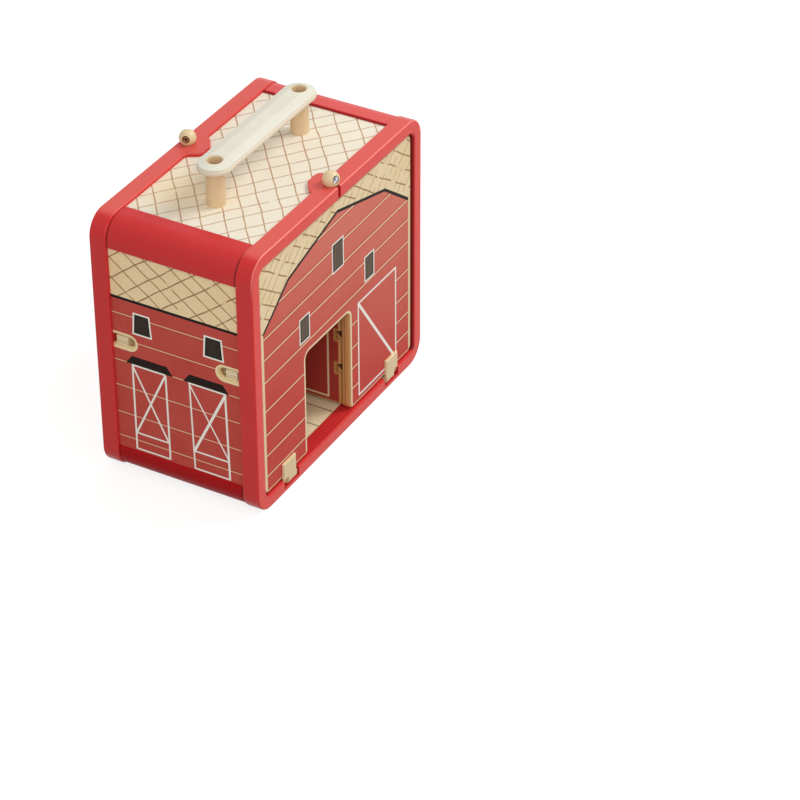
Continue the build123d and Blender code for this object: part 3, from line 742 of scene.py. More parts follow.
@dataclass(frozen=True)
class GablePrint(PrintedBoard):
    """A gable board's print: a gambrel outline, cream shingles above it, red planks below, windows and a door."""

    inks: PrintInks = PrintInks(red="C3423A", red_light="CB4F44", cream="F6E1BA", cream_dark="E9CE9E", hatch="8E5C2E",
                                plank="F1DCB2", pane="6B5A4B")
    # Painted sheen: paler reds, laid towards the board's upper right where light glances off the print.
    faded: PrintInks = PrintInks(red="D4705F", red_light="DC7E6C")
    bare: Plywood = Plywood(Axis.Y, Axis.X, layer_light="E6AA70", layer_dark="B8733C", glue=0.5, layer=1.15,
                            outer_ply=0.35)
    sanding: Sanding = Sanding(rough=0.44, gloss=0.1, relief=0.04, uneven=0.12)
    face: float = 75.0
    hatches: tuple[Hatch, ...] = (Hatch(-35.0, 12.5, 1.2, 3.0, 0.58, 0.085, 3.0, 0.85),
                                  Hatch(41.0, 8.8, 0.95, 3.0, 0.52, 0.045, 11.0, 0.6))
    end: End = End.FRONT
    half_width: float = 121.0
    foot: float = 16.6
    roof_line: float = 2.8
    sheen_middle: float = 105.0
    sheen_reach: float = 120.0
    peak: float = 225.0
    knee: Spot = (80.0, 203.5)
    eave: Spot = (120.0, 173.5)
    plank_slope: float = 0.02
    plank_levels: tuple[float, ...] = (33.3, 54.0, 75.0, 98.8, 127.5, 149.8, 169.8, 192.3, 215.7)
    panes: tuple[tuple[Spot, Spot], ...] = (((-8.2, 169.3), (8.2, 195.7)), ((45.6, 131.3), (59.6, 154.0)),
                                            ((-63.0, 130.2), (-49.0, 152.6)))
    door_low: Spot = (33.0, 20.6)
    door_high: Spot = (98.3, 115.2)
    door_line: float = 2.0
    brace_line: float = 2.8
    doorway_middle: float = DOORWAY_MIDDLE
    doorway_half: float = 36.5
    doorway_top: float = 115.0
    doorway_corner: float = 6.0
    doorway_margin: float = 3.4

    def margin(self, face: Face) -> Field:
        """The bare edge round the doorway, where the print stops short of the rounding.

        Args:
            face: The board's face.

        Returns:
            The edge's mask.
        """
        aside = (face.across - self.doorway_middle).size().over(self.doorway_half - self.doorway_corner)
        above = face.up.over(self.doorway_top - self.doorway_corner)
        return aside.reach(above).below(self.doorway_corner + self.doorway_margin, BLURRED)

    def gambrel(self, face: Face) -> Field:
        """How far a place lies above the roof's outline.

        Args:
            face: The board's face.

        Returns:
            The distance in millimetres, under nothing below the outline.
        """
        slope = (self.knee[1] - self.eave[1]) / (self.eave[0] - self.knee[0])
        pitch = (self.peak - self.knee[1]) / self.knee[0]
        lower = face.up + face.across.size() * slope - (self.eave[1] + slope * self.eave[0])
        upper = face.up + face.across.size() * pitch - self.peak
        return lower / math.hypot(1, slope) | upper / math.hypot(1, pitch)

    def door(self) -> list[Stroke]:
        """The painted door: its frame and its brace."""
        brace = Stroke((self.door_low[0], self.door_high[1]), (self.door_high[0], self.door_low[1]), self.brace_line)
        return outline(self.door_low, self.door_high, self.door_line) + [brace]

    def material(self) -> bpy.types.Material:
        """The print on the outward face, and bare layered edges and back.

        Returns:
            The finished material.
        """
        recipe = Recipe(self.name)
        face = Face(recipe.x * -self.end.value, recipe.z)
        self.inks.cream_field(recipe, Axis.Z)
        roof = self.gambrel(face)
        recipe.lay(drawn(face, self.hatches) & roof.above(0.0, CRISP), self.inks.hatch)
        broad = face.across.size().below(self.half_width, CRISP)
        wall = roof.below(0.0, CRISP) & broad & face.up.above(self.foot, CRISP)
        # Painted sheen: the red is painted paler towards the upper right of the board.
        painted_sheen = (face.up * 0.75 + face.across * 0.3).above(self.sheen_middle, self.sheen_reach)
        recipe.lay(wall, recipe.mix(painted_sheen, self.inks.red_field(recipe), self.faded.red_field(recipe)))
        doored = face.across.within(self.door_low[0], self.door_high[0]) & face.up.below(self.door_high[1])
        lines = nearest(face.up - face.across * self.plank_slope, self.plank_levels)
        self.inks.planks(lines, wall & (1 - doored), half_width=0.6, band=(2.0, 2.0), cover=0.45)
        if self.end is End.FRONT:
            recipe.lay(self.margin(face) & wall, self.inks.cream)
        recipe.lay(roof.size().below(self.roof_line / 2, 0.25) & broad, self.inks.black)
        recipe.lay(drawn(face, self.door()), self.inks.white)
        self.inks.windows(face, self.panes)
        printed = (recipe.y * self.end.value).above(self.face - self.skin, self.skin_soft)
        return self.finish(recipe, self.wood(recipe, self.end.value), printed)


@dataclass(frozen=True)
class SidePrint(PrintedBoard):
    """A side board's print: cream shingles over a black eave line, red planks, two windows and two barn doors."""

    inks: PrintInks = PrintInks(red="BE463E", red_light="C8584D", cream="FBE3B5", cream_dark="F1D3A2", hatch="8A5732",
                                plank="EBBF98", white="FBF8EC", pane="3A3029")
    bare: Plywood = Plywood(Axis.X, Axis.Y, light="F2DCAA", dark="E0C084", outer_ply=3.0)
    sanding: Sanding = Sanding(rough=0.44, gloss=0.1, relief=0.04)
    face: float = 136.5
    hatches: tuple[Hatch, ...] = (Hatch(37.5, 13.6, 1.05, 4.0, 0.64, 0.035, 30.0, 0.9),
                                  Hatch(-37.5, 15.0, 1.05, 4.5, 0.63, 0.035, 63.0, 0.9))
    side: Side = Side.LEFT
    margin_tone: str = "F6E2B2"
    awning_tone: str = "1D100A"
    eave: float = 177.6
    eave_line: float = 2.7
    slot_middle: float = 135.0
    slot_turn: float = 45.9
    slot_margin: float = 8.3
    plank_levels: tuple[float, ...] = (162.0, 137.0, 115.0, 89.5, 62.0, 37.5)
    panes: tuple[tuple[Spot, Spot], ...] = (((25.3, 147.0), (40.0, 165.6)), ((-44.2, 147.0), (-28.6, 165.6)))
    awnings: tuple[Spot, ...] = ((27.2, 20.6), (-28.0, 19.8))
    awning_foot: float = 114.6
    awning_top: float = 122.9
    braces: tuple[tuple[float, ...], ...] = (
        (-11.0, 114.0, -46.5, 114.0, 1.6), (-46.1, 114.0, -47.8, 28.1, 1.9), (-11.6, 114.0, -13.6, 28.1, 1.5),
        (-13.5, 46.0, -47.6, 46.0, 1.6), (-13.6, 28.1, -47.8, 28.1, 1.6), (-46.1, 112.7, -13.5, 45.7, 2.4),
        (-12.0, 112.0, -47.3, 47.9, 1.4), (44.0, 114.0, 12.0, 114.0, 1.6), (44.0, 114.0, 44.2, 28.7, 1.7),
        (11.6, 113.0, 11.0, 28.7, 1.7), (44.0, 45.1, 11.4, 45.1, 1.6), (44.2, 28.7, 11.4, 28.7, 1.6),
        (12.4, 112.4, 43.7, 45.0, 1.8), (44.0, 113.0, 12.0, 46.0, 1.7),
    )

    def canopies(self, face: Face) -> Field:
        """The dark canopies over the two doors: flat tops, feet that stand out at both ends.

        Args:
            face: The board's face.

        Returns:
            Their mask.
        """
        slant = (face.up - 118.0) * 0.75
        level = face.up.within(self.awning_foot, self.awning_top)
        return either([((face.across - middle).size() + slant).below(half) & level for middle, half in self.awnings])

    def margin(self, face: Face) -> Field:
        """The bare edge round the two slots, where the print stops short of the rounding."""
        inward = (self.slot_turn - face.across.size()).over(0.0)
        return inward.reach(face.up - self.slot_middle).below(self.slot_margin, BLURRED)

    def material(self) -> bpy.types.Material:
        """The print on the outward face, and bare layered edges and inner face.

        Returns:
            The finished material.
        """
        recipe = Recipe(self.name)
        face = Face(recipe.y * -self.side.value, recipe.z)
        self.inks.cream_field(recipe, Axis.Z)
        recipe.lay(drawn(face, self.hatches), self.inks.hatch)
        wall = face.up.below(self.eave, CRISP)
        recipe.lay(wall, self.inks.red_field(recipe))
        lines = nearest(face.up, self.plank_levels)
        self.inks.planks(lines, wall, half_width=0.5, band=(1.7, 1.8), cover=0.35)
        recipe.lay(self.margin(face), self.margin_tone)
        recipe.lay((face.up - self.eave).size().below(self.eave_line / 2, CRISP), self.inks.black)
        recipe.lay(self.canopies(face), self.awning_tone)
        recipe.lay(drawn(face, [Stroke(row[:2], row[2:4], row[4]) for row in self.braces]), self.inks.white)
        self.inks.windows(face, self.panes, taper=0.07)
        printed = (recipe.x * self.side.value).above(self.face - self.skin, self.skin_soft)
        return self.finish(recipe, self.wood(recipe, self.side.value), printed)


@dataclass(frozen=True)
class RoofPrint(PrintedBoard):
    """The roof board's print: pale cream with two families of brown shingle lines."""

    name: str = "roof_print"
    inks: PrintInks = PrintInks(cream="EFE8D7", cream_dark="E8DEC8", hatch="AE8258")
    bare: Plywood = Plywood(Axis.Z, Axis.Y)
    sanding: Sanding = Sanding(rough=0.46, gloss=0.25, relief=0.045)
    face: float = ROOF_TOP
    hatches: tuple[Hatch, ...] = (Hatch(39.0, 16.4, 1.05, 4.0, 0.73, 0.045, 9.0, 0.92),
                                  Hatch(-38.0, 15.6, 1.15, 3.5, 0.71, 0.055, 70.0, 0.78))
    # Painted shadow: a warmer tone where the handle shades the roof.
    painted_shadow_tone: str = "F1D9B0"
    painted_shadow_middle: Spot = (-62.0, 32.0)
    painted_shadow_reach: float = 32.0

    def material(self) -> bpy.types.Material:
        """The print on the upper face, with the handle's shadow painted on it in a warmer tone, and a bare lower
        face.

        Returns:
            The finished material.
        """
        recipe = Recipe(self.name)
        self.inks.cream_field(recipe, Axis.X)
        # Painted shadow: the handle's shadow, painted as a warm patch behind the near post.
        away = (recipe.x - self.painted_shadow_middle[0]).reach(recipe.y - self.painted_shadow_middle[1])
        recipe.lay(away.below(self.painted_shadow_reach, 40.0) * 0.72, self.painted_shadow_tone)
        recipe.lay(drawn(Face(recipe.x, recipe.y), self.hatches), self.inks.hatch)
        printed = recipe.z.above(self.face - self.skin, self.skin_soft)
        return self.finish(recipe, self.wood(recipe, 1), printed, Axis.X)


@dataclass(frozen=True)
class FloorPrint:
    """A floor of plywood with dark lines that part it into planks."""

    name: str
    top: float
    thickness: float
    ink: str = "4A3222"
    sanding: Sanding = Sanding(rough=0.46, gloss=0.33, relief=0.06, fibres=1.4)
    spacing: float = 24.6
    start: float = 9.5
    half_line: float = 0.55

    def material(self) -> bpy.types.Material:
        """Planks along Y on the upper face, and bare layers elsewhere.

        Returns:
            The finished material.
        """
        recipe = Recipe(self.name)
        wood = Plywood(Axis.Z, Axis.Y, "FDEDCB", "F3DAAA", "FFF0CC", "F3D8A6", thickness=self.thickness, layer=2.5,
                       glue=0.75)
        recipe.colour = wood.paint(recipe, self.top - self.thickness / 2)
        wander = (recipe.cloud(0.05, 1.0, Axis.Y, 3.0) - 0.5) * 0.8
        across = (recipe.x + (wander - self.start)) / self.spacing
        gap = (across - (across + 0.5).step()).size() * self.spacing
        line = gap.below(self.half_line, 0.4) & recipe.z.above(self.top - 0.3, CRISP)
        recipe.lay(line * 0.88, self.ink)
        return self.sanding.dress(recipe, Axis.Y, line * 0.6)


@dataclass(frozen=True)
class DoorPrint(PrintedBoard):
    """A door leaf's print: a red field inside a cream outline, on the face that shows through the doorway."""

    inks: PrintInks = PrintInks(red="A02E29", red_light="AA3A33")
    bare: Plywood = Plywood(Axis.X, Axis.Z, light="D59C5E", dark="B0763A", layer_light="D59C5E")
    sanding: Sanding = Sanding(rough=0.42, gloss=0.35, relief=0.05)
    face: float = 18.2
    side: Side = Side.LEFT
    border: str = "E3C9A0"
    border_low: Spot = (12.9, 20.9)
    border_high: Spot = (38.2, 112.5)
    border_width: float = 1.9
    rim_light: str = "D29A5C"
    rim_dark: str = "AC7236"
    doorway_middle: float = DOORWAY_MIDDLE
    near: float = DOOR_HINGE_EDGE
    width: float = 43.2
    foot: float = 15.5
    top: float = 118.0
    rim: float = 2.2
    notch_depth: float = 7.1
    notches: tuple[Spot, ...] = ((46.6, 59.6), (80.6, 93.6))

    def bare_rim(self, face: Face) -> Field:
        """The leaf's bare edges and notches.

        Args:
            face: The leaf's face.

        Returns:
            Their mask.
        """
        notched = either([face.up.within(low, high, BLURRED) for low, high in self.notches])
        return either([
            face.across.below(self.notch_depth, BLURRED) & notched, face.across.below(self.rim + 0.4, BLURRED),
            face.across.above(self.width - self.rim, BLURRED), face.up.below(self.foot + self.rim, BLURRED),
            face.up.above(self.top - self.rim, BLURRED)])

    def material(self) -> bpy.types.Material:
        """The print on the face towards the doorway, and bare layers on the edges and notches.

        Returns:
            The finished material.
        """
        recipe = Recipe(self.name)
        aside = (recipe.x - self.doorway_middle) * self.side.value
        depth = self.face - self.doorway_middle
        face = Face(recipe.y - self.near, recipe.z)
        middle = self.doorway_middle + self.side.value * (depth + self.bare.thickness / 2)
        recipe.colour = self.inks.red_field(recipe)
        recipe.lay(drawn(face, outline(self.border_low, self.border_high, self.border_width)), self.border)
        recipe.lay(self.bare_rim(face), recipe.plank(self.rim_light, self.rim_dark, Axis.Z))
        return self.finish(recipe, self.bare.paint(recipe, middle), aside.below(depth + self.skin, self.skin_soft))


@dataclass(frozen=True)
class TurnedWood:
    """Solid beech, turned or sawn: fine short flecks over a warm even ground."""

    name: str
    grain: Axis
    light: str = "E7CFA6"
    dark: str = "CDA774"
    fleck: str = "B98C58"
    rough: float = 0.36

    def darken_hole(self, recipe: Recipe) -> None:
        """Lays on darker wood in a hole. This wood has none."""

    def material(self) -> bpy.types.Material:
        """The wood, sanded and lightly waxed.

        Returns:
            The finished material.
        """
        recipe = Recipe(self.name)
        recipe.colour = recipe.plank(self.light, self.dark, self.grain, fine=1.7)
        recipe.lay(recipe.cloud(1.5, 1.0, self.grain, 5.0, seed=31.0).above(0.64, 0.06) * 0.3, self.fleck)
        self.darken_hole(recipe)
        waxed = Sanding(self.rough, gloss=0.4, relief=0.03, uneven=0.12, fibres=2.4, stretch=18.0, ior=1.48)
        return waxed.dress(recipe, self.grain)


@dataclass(frozen=True)
class BeadWood(TurnedWood):
    """A turned bead's wood, browned in the mouths of its cross hole, with painted shade deeper inside."""

    mouth_brown: str = "B9763A"
    hole_painted_shade: str = "74431E"
    radius: float = 7.5
    outward: float = BEAD_OUTWARD
    height: float = BEAD_HEIGHT

    def darken_hole(self, recipe: Recipe) -> None:
        """Darkens the wood below the bead's round surface: brown in the mouths, and painted shade deeper inside the
        hole.

        Args:
            recipe: The material.
        """
        depth = recipe.x.reach(recipe.y.size() - self.outward).reach(recipe.z - self.height)
        recipe.lay(depth.below(self.radius - 0.3, 0.3) * 0.8, self.mouth_brown)
        # Painted shade: the wood is painted darker deeper inside the hole.
        recipe.lay(depth.below(self.radius - 2.4, 1.8), self.hole_painted_shade)


@dataclass(frozen=True)
class SpeckledPlastic:
    """Moulded plastic filled with plant fibre: a matt ground with fine darker specks."""

    name: str
    ground: str
    shade: str
    speck: str
    cover: float

    def tint(self, recipe: Recipe) -> None:
        """Lays on a second colour in a part of the moulding. This one has none."""

    def material(self) -> bpy.types.Material:
        """The moulding, with specks of two sizes and a fine sparked texture.

        Returns:
            The finished material.
        """
        recipe = Recipe(self.name)
        recipe.colour = self.ground
        recipe.lay(recipe.cloud(0.05, 3.0).above(0.52, 0.6), self.shade)
        self.tint(recipe)
        fine = recipe.cloud(2.6, 1.0, seed=5.0).above(0.63, 0.1)
        coarse = recipe.cloud(1.1, 2.0, seed=14.0).above(0.68, 0.08)
        recipe.lay((fine * 0.5 | coarse) * self.cover, self.speck)
        texture = recipe.cloud(2.2, 2.0, seed=25.0)
        return recipe.dress(texture * 0.14 + 0.46, texture, 0.04, IOR=1.5, Specular_IOR_Level=0.4)


@dataclass(frozen=True)
class BasePlastic(SpeckledPlastic):
    """The lower moulding's plastic: beige in the posts and bosses, bleached nearly white in the plate."""

    plate: str = "E4D8C0"
    plate_low: float = 279.4
    post: float = 67.0
    boss_radius: float = 8.4

    def tint(self, recipe: Recipe) -> None:
        """Bleaches the plate above the posts, clear of the bosses in the sockets."""
        beside = (recipe.x.size() - self.post).reach(recipe.y).above(self.boss_radius, 0.4)
        recipe.lay(recipe.z.above(self.plate_low, 1.2) & beside, self.plate)


@dataclass(frozen=True)
class Metal:
    """Bare metal, drawn or stamped: fine brush marks, faint stains and a bright sheen."""

    name: str
    bright: str = "B9B7B2"
    dull: str = "8F8D89"
    rough: float = 0.2

    def material(self) -> bpy.types.Material:
        """The metal with its upright brush marks.

        Returns:
            The finished material.
        """
        recipe = Recipe(self.name)
        marks = recipe.cloud(6.0, 3.0, Axis.Z, 25.0)
        stains = recipe.cloud(0.35, 3.0, seed=4.0)
        recipe.colour = self.bright
        recipe.lay((marks * 0.5 + stains * 0.7 - 0.1).above(0.5, 0.6), self.dull)
        return recipe.dress(marks * 0.22 + self.rough, marks, 0.012, Metallic=1.0)


@dataclass(frozen=True)
class BracketShadeAndLight:
    """The door brackets' finish: dark brown as painted shade, and pale on the lower half of each eye as painted
    light.
    """

    name: str
    painted_shade_tone: str = "3A2416"
    patchy_shade_tone: str = "4A2E1B"
    painted_light_tone: str = "CD9658"
    eye_feet: tuple[float, ...] = (48.5, 82.5)
    eye_height: float = 9.5
    near: float = DOOR_HINGE_EDGE
    slant: float = 1.1

    def material(self) -> bpy.types.Material:
        """The dark painted shade, with a slanting line below which each eye is painted pale as painted light.

        Returns:
            The finished material.
        """
        recipe = Recipe(self.name)
        stains = recipe.cloud(0.35, 3.0, seed=4.0)
        # Painted shade: the whole bracket is dark, standing for the shade in the leaf's notches.
        recipe.colour = self.painted_shade_tone
        recipe.lay(stains.above(0.5, 0.6), self.patchy_shade_tone)
        # Painted light: pale below a slanting line on each eye, where the notch's lower lip catches the light.
        line = (recipe.y - self.near) * self.slant + 2.0
        for foot in self.eye_feet:
            eye = recipe.z.within(foot - 1.0, foot + self.eye_height, 0.5)
            recipe.lay((line - recipe.z + foot).above(0.0, 0.8) & eye, self.painted_light_tone)
        return recipe.dress(stains * 0.2 + 0.45, stains, 0.02, IOR=1.46, Specular_IOR_Level=0.3)


@dataclass(frozen=True)
class BraidedCord:
    """Thin elastic with a woven cover: small slanted stitches round an upright core."""

    name: str
    thread: str = "ECE6D8"
    shadow: str = "9C9080"
    pitch: float = 0.9

    def material(self) -> bpy.types.Material:
        """Two crossing sets of threads round the cord.

        Returns:
            The finished material.
        """
        recipe = Recipe(self.name)
        twist = (recipe.x + recipe.y) / self.pitch
        climb = recipe.z / self.pitch
        one = recipe.reckon("SINE", (climb + twist) * math.tau)
        other = recipe.reckon("SINE", (climb - twist) * math.tau)
        weave = one * other * 0.5 + 0.5
        fuzz = recipe.cloud(3.0, 3.0)
        recipe.colour = self.thread
        recipe.lay((weave * 0.8 + fuzz * 0.4).below(0.45, 0.6), self.shadow)
        return recipe.dress(fuzz * 0.2 + 0.7, weave, 0.12, Sheen_Weight=0.3, Specular_IOR_Level=0.2)


def dress_nodes(material: bpy.types.Material, *nodes: str) -> None:
    """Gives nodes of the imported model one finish.

    Args:
        material: The finish.
        nodes: The nodes' names.
    """
    for node in nodes:
        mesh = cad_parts[node].data
        if not mesh.materials:
            mesh.materials.append(material)
        for place in range(len(mesh.materials)):
            mesh.materials[place] = material
        LOG.info("%s: %s", node, material.name)


def turned(place: Place | Vector, *turns: tuple[float, str]) -> Matrix:
    """A place in the barn's frame, with turns about its own axes.

    Args:
        place: The place.
        turns: The degrees and the axis of each turn, in order.

    Returns:
        The place and the turns as one matrix.
    """
    return reduce(matmul, [Matrix.Rotation(math.radians(angle), 4, axis) for angle, axis in turns],
                  Matrix.Translation(place))


def set_out(name: str, data: bpy.types.ID, place: Matrix = Matrix.Identity(4)) -> bpy.types.Object:
    """Sets a new object out in the scene.

    Args:
        name: The object's name.
        data: Its mesh, lamp or camera.
        place: Where it is and how it is turned.

    Returns:
        The object.
    """
    thing = bpy.data.objects.new(name, data)
    thing.matrix_world = place
    bpy.context.scene.collection.objects.link(thing)
    return thing


def harden(name: str, maker: bmesh.types.BMesh, material: bpy.types.Material) -> bpy.types.Mesh:
    """Turns a finished bmesh into a mesh.

    Args:
        name: The mesh's name.
        maker: Its shape. It is freed.
        material: Its finish.

    Returns:
        The mesh.
    """
    mesh = bpy.data.meshes.new(name)
    maker.to_mesh(mesh)
    maker.free()
    mesh.materials.append(material)
    return mesh


@dataclass
class EndFrames:
    """The two lacquered rings at the front and the back."""

    red: RingLacquer = RingLacquer("frame_red", "CE2E2E", "D43836", rough=0.25, gloss=0.2)

    def build(self) -> None:
        """Dresses both rings."""
        dress_nodes(self.red.material(), "front_frame", "back_frame")


@dataclass
class Rails:
    """The four quarter-round rails between the rings: one paint, with the lower two painted darker as painted shade.
    """

    top: RailLacquer = RailLacquer("top_rail_red", "C92C2D", "CF3735", rough=0.4, gloss=0.24)
    # Painted shade: the lower rails get a darker copy of the same paint.
    bottom: RailLacquer = RailLacquer("bottom_rail_painted_shade", "AA1317", "B0191D", rough=0.42, gloss=0.08)

    def build(self) -> None:
        """Dresses the rails."""
        dress_nodes(self.top.material(), "top_rail_left", "top_rail_right")
        dress_nodes(self.bottom.material(), "bottom_rail_left", "bottom_rail_right")


@dataclass
class Boards:
    """Roof, sides, floor and loft floor, with the dowels that hold them."""

    roof: RoofPrint = RoofPrint()
    floor: FloorPrint = FloorPrint("floor_print", 12.5, 6.0)
    loft: FloorPrint = FloorPrint("loft_planks", 139.0, 8.0)
    dowel: TurnedWood = TurnedWood("dowel_wood", Axis.Y)

    def build(self) -> None:
        """Dresses the boards and the dowels."""
        dress_nodes(self.roof.material(), "roof_board")
        dress_nodes(self.floor.material(), "floor_board")
        dress_nodes(self.loft.material(), "loft_floor")
        for side in Side:
            dress_nodes(SidePrint(f"side_print_{side.word}", side=side).material(), f"side_board_{side.word}")
        dress_nodes(self.dowel.material(), "frame_dowels", "board_dowels", "front_flap_pins", "back_flap_pins")


@dataclass
class GableFlaps:
    """The two gable boards and their hinge tabs."""

    tab: TurnedWood = TurnedWood("tab_wood", Axis.Z, light="EAD6AE", dark="DDBF8C", rough=0.42)

    def build(self) -> None:
        """Dresses the boards and the tabs."""
        tabs = self.tab.material()
        for end in End:
            dress_nodes(GablePrint(f"gable_print_{end.word}", end=end).material(), f"{end.word}_flap")
            dress_nodes(tabs, f"{end.word}_tab_left", f"{end.word}_tab_right")


@dataclass
class Doors:
    """The pair of door leaves with their pins, brackets with painted light and shade, and screws."""

    steel: Metal = Metal("steel")
    bracket_shade_and_light: BracketShadeAndLight = BracketShadeAndLight("bracket_painted_shade_and_light")

    def build(self) -> None:
        """Dresses the leaves, the pins, the brackets and the screws."""
        steel, bracket_shade_and_light = self.steel.material(), self.bracket_shade_and_light.material()
        for side in Side:
            dress_nodes(DoorPrint(f"door_print_{side.word}", side=side).material(), f"door_{side.word}")
            dress_nodes(steel, f"door_pins_{side.word}", f"door_screws_{side.word}")
            dress_nodes(bracket_shade_and_light, f"door_brackets_{side.word}")


@dataclass
class Handle:
    """The carrying handle: an upper and a lower moulding, and the fittings that hold it to the roof."""

    cover: SpeckledPlastic = SpeckledPlastic("handle_white", "E4E0D1", "DCD7C4", "B9AE98", 0.35)
    base: BasePlastic = BasePlastic("handle_beige", "E4CAA2", "D8BA90", "A87C4C", 0.6)
    steel: Metal = Metal("handle_steel")

    def build(self) -> None:
        """Dresses the mouldings and the fittings."""
        dress_nodes(self.cover.material(), "handle_cover")
        dress_nodes(self.base.material(), "handle_base")
        dress_nodes(self.steel.material(), "handle_screws", "handle_washers", "handle_nuts")


@dataclass
class Ferrule:
    """The pressed metal sleeve in a bead's cross hole, flared into a cup at both mouths. Sizes are in millimetres."""

    end: End
    metal: Metal
    tilt: float
    turn: float
    lip: Spot
    cup: Spot
    floor: Spot
    dent: float
    pinch: float
    pinch_turn: float = 130.0
    tube_radius: float = 2.4
    tube_half: float = 4.5
    lip_round: float = 0.14
    lip_angle: float = 40.0
    smooth_angle: float = 35.0
    centre: Place = (0.0, BEAD_OUTWARD, BEAD_HEIGHT)
    steps: int = 48

    def profile(self) -> list[Spot]:
        """The sleeve's half section as spots of radius and distance along the hole, from one lip to the other."""
        upper = [(self.tube_radius, self.tube_half), self.lip, self.cup, self.floor]
        return upper + [(radius, -along) for radius, along in reversed(upper)]

    def aim(self) -> Matrix:
        """The turn that lays the sleeve along its hole, and its place in the bead.

        Returns:
            Both as one matrix.
        """
        half_turn = 180.0 if self.end is End.BACK else 0.0
        across, out, up = self.centre
        place = Vector((across, out * self.end.value, up)) * MM
        return turned(place, (half_turn - self.turn, "Z"), (90.0 - self.tilt, "X"))

    def crush(self, maker: bmesh.types.BMesh) -> None:
        """Dents the cups' rims and pinches the cups.

        Args:
            maker: The sleeve, along Z.
        """
        narrow = Vector((math.cos(math.radians(self.pinch_turn)), math.sin(math.radians(self.pinch_turn)), 0.0))
        for vertex in maker.verts:
            round_it = math.atan2(vertex.co.y, vertex.co.x)
            share = max(0.0, min(1.0, (abs(vertex.co.z) / MM - self.tube_half) / 1.2))
            push = math.sin(3.0 * round_it + 0.6) * 0.6 + math.sin(7.0 * round_it + 2.0) * 0.4
            vertex.co.z -= math.copysign(self.dent * share * (0.5 + 0.5 * push) * MM, vertex.co.z)
            vertex.co -= narrow * (vertex.co.dot(narrow) * (1.0 - self.pinch) * share)

    def shape(self) -> bmesh.types.BMesh:
        """Spins the section, rounds its lips and crushes its cups.

        Returns:
            The sleeve, in its bead.
        """
        maker = bmesh.new()
        ring = [maker.verts.new((radius * MM, 0.0, along * MM)) for radius, along in self.profile()]
        edges = [maker.edges.new(pair) for pair in zip(ring, ring[1:] + ring[:1])]
        bmesh.ops.spin(maker, geom=ring + edges, axis=(0.0, 0.0, 1.0), cent=(0.0, 0.0, 0.0), steps=self.steps,
                       angle=math.tau, use_merge=True, use_duplicate=False)
        bmesh.ops.remove_doubles(maker, verts=maker.verts, dist=0.01 * MM)
        bmesh.ops.recalc_face_normals(maker, faces=maker.faces)
        sharp = [edge for edge in maker.edges if edge.calc_face_angle(0.0) > math.radians(self.lip_angle)]
        bmesh.ops.bevel(maker, geom=sharp, offset=self.lip_round * MM, affect="EDGES", segments=2, profile=0.5,
                        material=-1)
        self.crush(maker)
        bmesh.ops.transform(maker, matrix=self.aim(), verts=maker.verts)
        bmesh.ops.recalc_face_normals(maker, faces=maker.faces)
        return maker

    def build(self) -> None:
        """Presses the sleeve into its bead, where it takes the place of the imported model's plain one."""
        word = self.end.word
        mesh = harden(f"{word}_ferrule", self.shape(), self.metal.material())
        piece = set_out(mesh.name, mesh)
        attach(piece, f"{word}_closure")
        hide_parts(f"{word}_bead_crimp")
        mesh.shade_smooth()
        mesh.set_sharp_from_angle(angle=math.radians(self.smooth_angle))
        LOG.info("%s stands for %s_bead_crimp", mesh.name, word)


@dataclass
class Closures:
    """The two beads with their metal sleeves and elastic cords."""

    wood: BeadWood = BeadWood("bead_wood", Axis.Z, light="EBD6B0", dark="D8BB8A", rough=0.24)
    front_sleeve: Metal = Metal("front_crimp_metal", "D6D7E0", "A2A4B2", 0.26)
    back_sleeve: Metal = Metal("back_crimp_metal", "A98567", "5A3B28", 0.14)
    cord: BraidedCord = BraidedCord("elastic_cord")

    def build(self) -> None:
        """Dresses the beads and cords, and makes the sleeves."""
        dress_nodes(self.wood.material(), "front_bead", "back_bead")
        dress_nodes(self.cord.material(), "front_bead_cord", "front_flap_cord", "back_bead_cord", "back_flap_cord")
        Ferrule(End.FRONT, self.front_sleeve, 17.0, 17.0, (3.25, 6.6), (2.7, 6.0), (0.9, 5.7), 0.5, 0.62).build()
        Ferrule(End.BACK, self.back_sleeve, 12.0, 252.0, (2.9, 5.5), (2.2, 4.5), (0.9, 4.9), 0.15, 0.95).build()


@dataclass(frozen=True)
class Lamp:
    """A round soft lamp that points at the barn. Its power is in watts."""

    name: str
    place: Place
    power: float
    size: float

    def hang(self, aim: Place) -> None:
        """Hangs the lamp.

        Args:
            aim: Where it points.
        """
        data = bpy.data.lights.new(self.name, "AREA")
        data.shape = "DISK"
        data.size = self.size
        data.energy = self.power
        swing = (Vector(aim) - Vector(self.place)).to_track_quat("-Z", "Y").to_matrix().to_4x4()
        set_out(self.name, data, Matrix.Translation(self.place) @ swing)


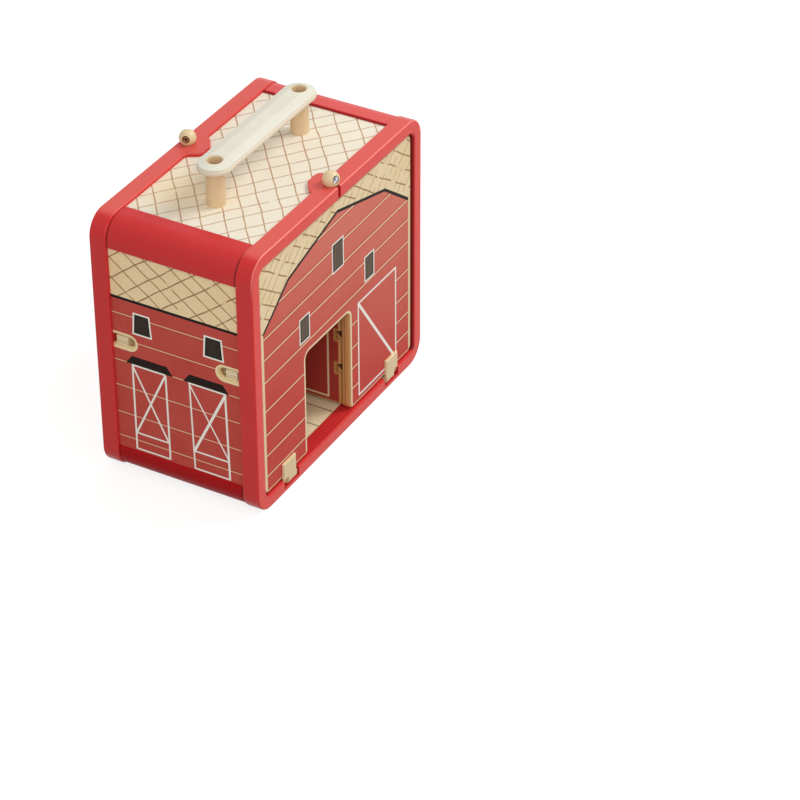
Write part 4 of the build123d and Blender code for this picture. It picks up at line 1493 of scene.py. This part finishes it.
@dataclass
class Studio:
    """A plain pale floor, soft light and the camera."""

    camera_place: Place = (-1.90006, -1.19266, 1.57785)
    camera_turn: float = 60.875
    camera_drop: float = 34.997
    camera_roll: float = -0.0938
    lens: float = 140.667
    sensor: float = 36.0
    near_clip: float = 0.05
    far_clip: float = 50.0
    floor_size: float = 12.0
    floor_tone: str = "A2A2A0"
    floor_shade: str = "9E9E9C"
    floor_glow: float = 0.78
    sky: float = 0.58
    lamps: tuple[Lamp, ...] = (Lamp("key", (1.0, -0.95, 1.6), 19.2, 0.9), Lamp("fill", (-1.3, -0.8, 1.1), 9.2, 1.2))
    aim: Place = (0.0, 0.0, 0.12)

    def camera(self) -> None:
        """Places the camera and makes it the scene's own."""
        place = turned(self.camera_place, (-self.camera_turn, "Z"), (90.0 - self.camera_drop, "X"),
                       (self.camera_roll, "Z"))
        data = bpy.data.cameras.new("camera")
        data.lens, data.sensor_width = self.lens, self.sensor
        data.clip_start, data.clip_end = self.near_clip, self.far_clip
        bpy.context.scene.camera = set_out("camera", data, place)

    def floor(self) -> None:
        """Lays the floor: pale, with the object's shadow, and white to the camera where nothing shades it."""
        maker = bmesh.new()
        bmesh.ops.create_grid(maker, x_segments=1, y_segments=1, size=self.floor_size / 2)
        recipe = Recipe("floor")
        recipe.colour = self.floor_tone
        recipe.lay(recipe.cloud(0.004, 2.0), self.floor_shade)
        glow = recipe.rays("Camera", "Glossy", "Transmission") * self.floor_glow
        material = recipe.dress(0.8, Specular_IOR_Level=0.1, Emission_Color=WHITE, Emission_Strength=glow)
        set_out("floor", harden("floor", maker, material))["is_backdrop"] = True

    def light(self) -> None:
        """Hangs the lamps and lets a white sky fill the rest."""
        sky = bpy.data.worlds.new("sky")
        wiring = Wiring(sky)
        seen = wiring.rays("Camera", "Glossy")
        strength = wiring.node("MapRange", {"Value": seen, "To Min": self.sky, "To Max": 1.0})
        glow = wiring.node("Background", {"Color": WHITE, "Strength": strength.outputs[0]})
        wiring.node("OutputWorld", {"Surface": glow.outputs[0]})
        bpy.context.scene.world = sky
        for lamp in self.lamps:
            lamp.hang(self.aim)

    def build(self) -> None:
        """Sets the camera, the floor, the lights and the plain colour view."""
        self.camera()
        self.floor()
        self.light()
        bpy.context.scene.view_settings.view_transform = "Standard"


def corners(box: tuple[Vector, Vector]) -> list[list[float]]:
    """A box's two corners as plain lists."""
    return [[round(value, 6) for value in corner] for corner in box]


def main() -> None:
    """Builds the barn's looks, one sub-assembly after another."""
    logging.basicConfig(level=logging.INFO, format="%(name)s: %(message)s")
    packed = corners(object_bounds())
    for assembly in (Studio(), EndFrames(), Rails(), Boards(), GableFlaps(), Doors(), Handle(), Closures()):
        assembly.build()
        LOG.info("%s done", type(assembly).__name__)
    {"packed": packed, "dressed": corners(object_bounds())}


if __name__ == "__main__":
    main()
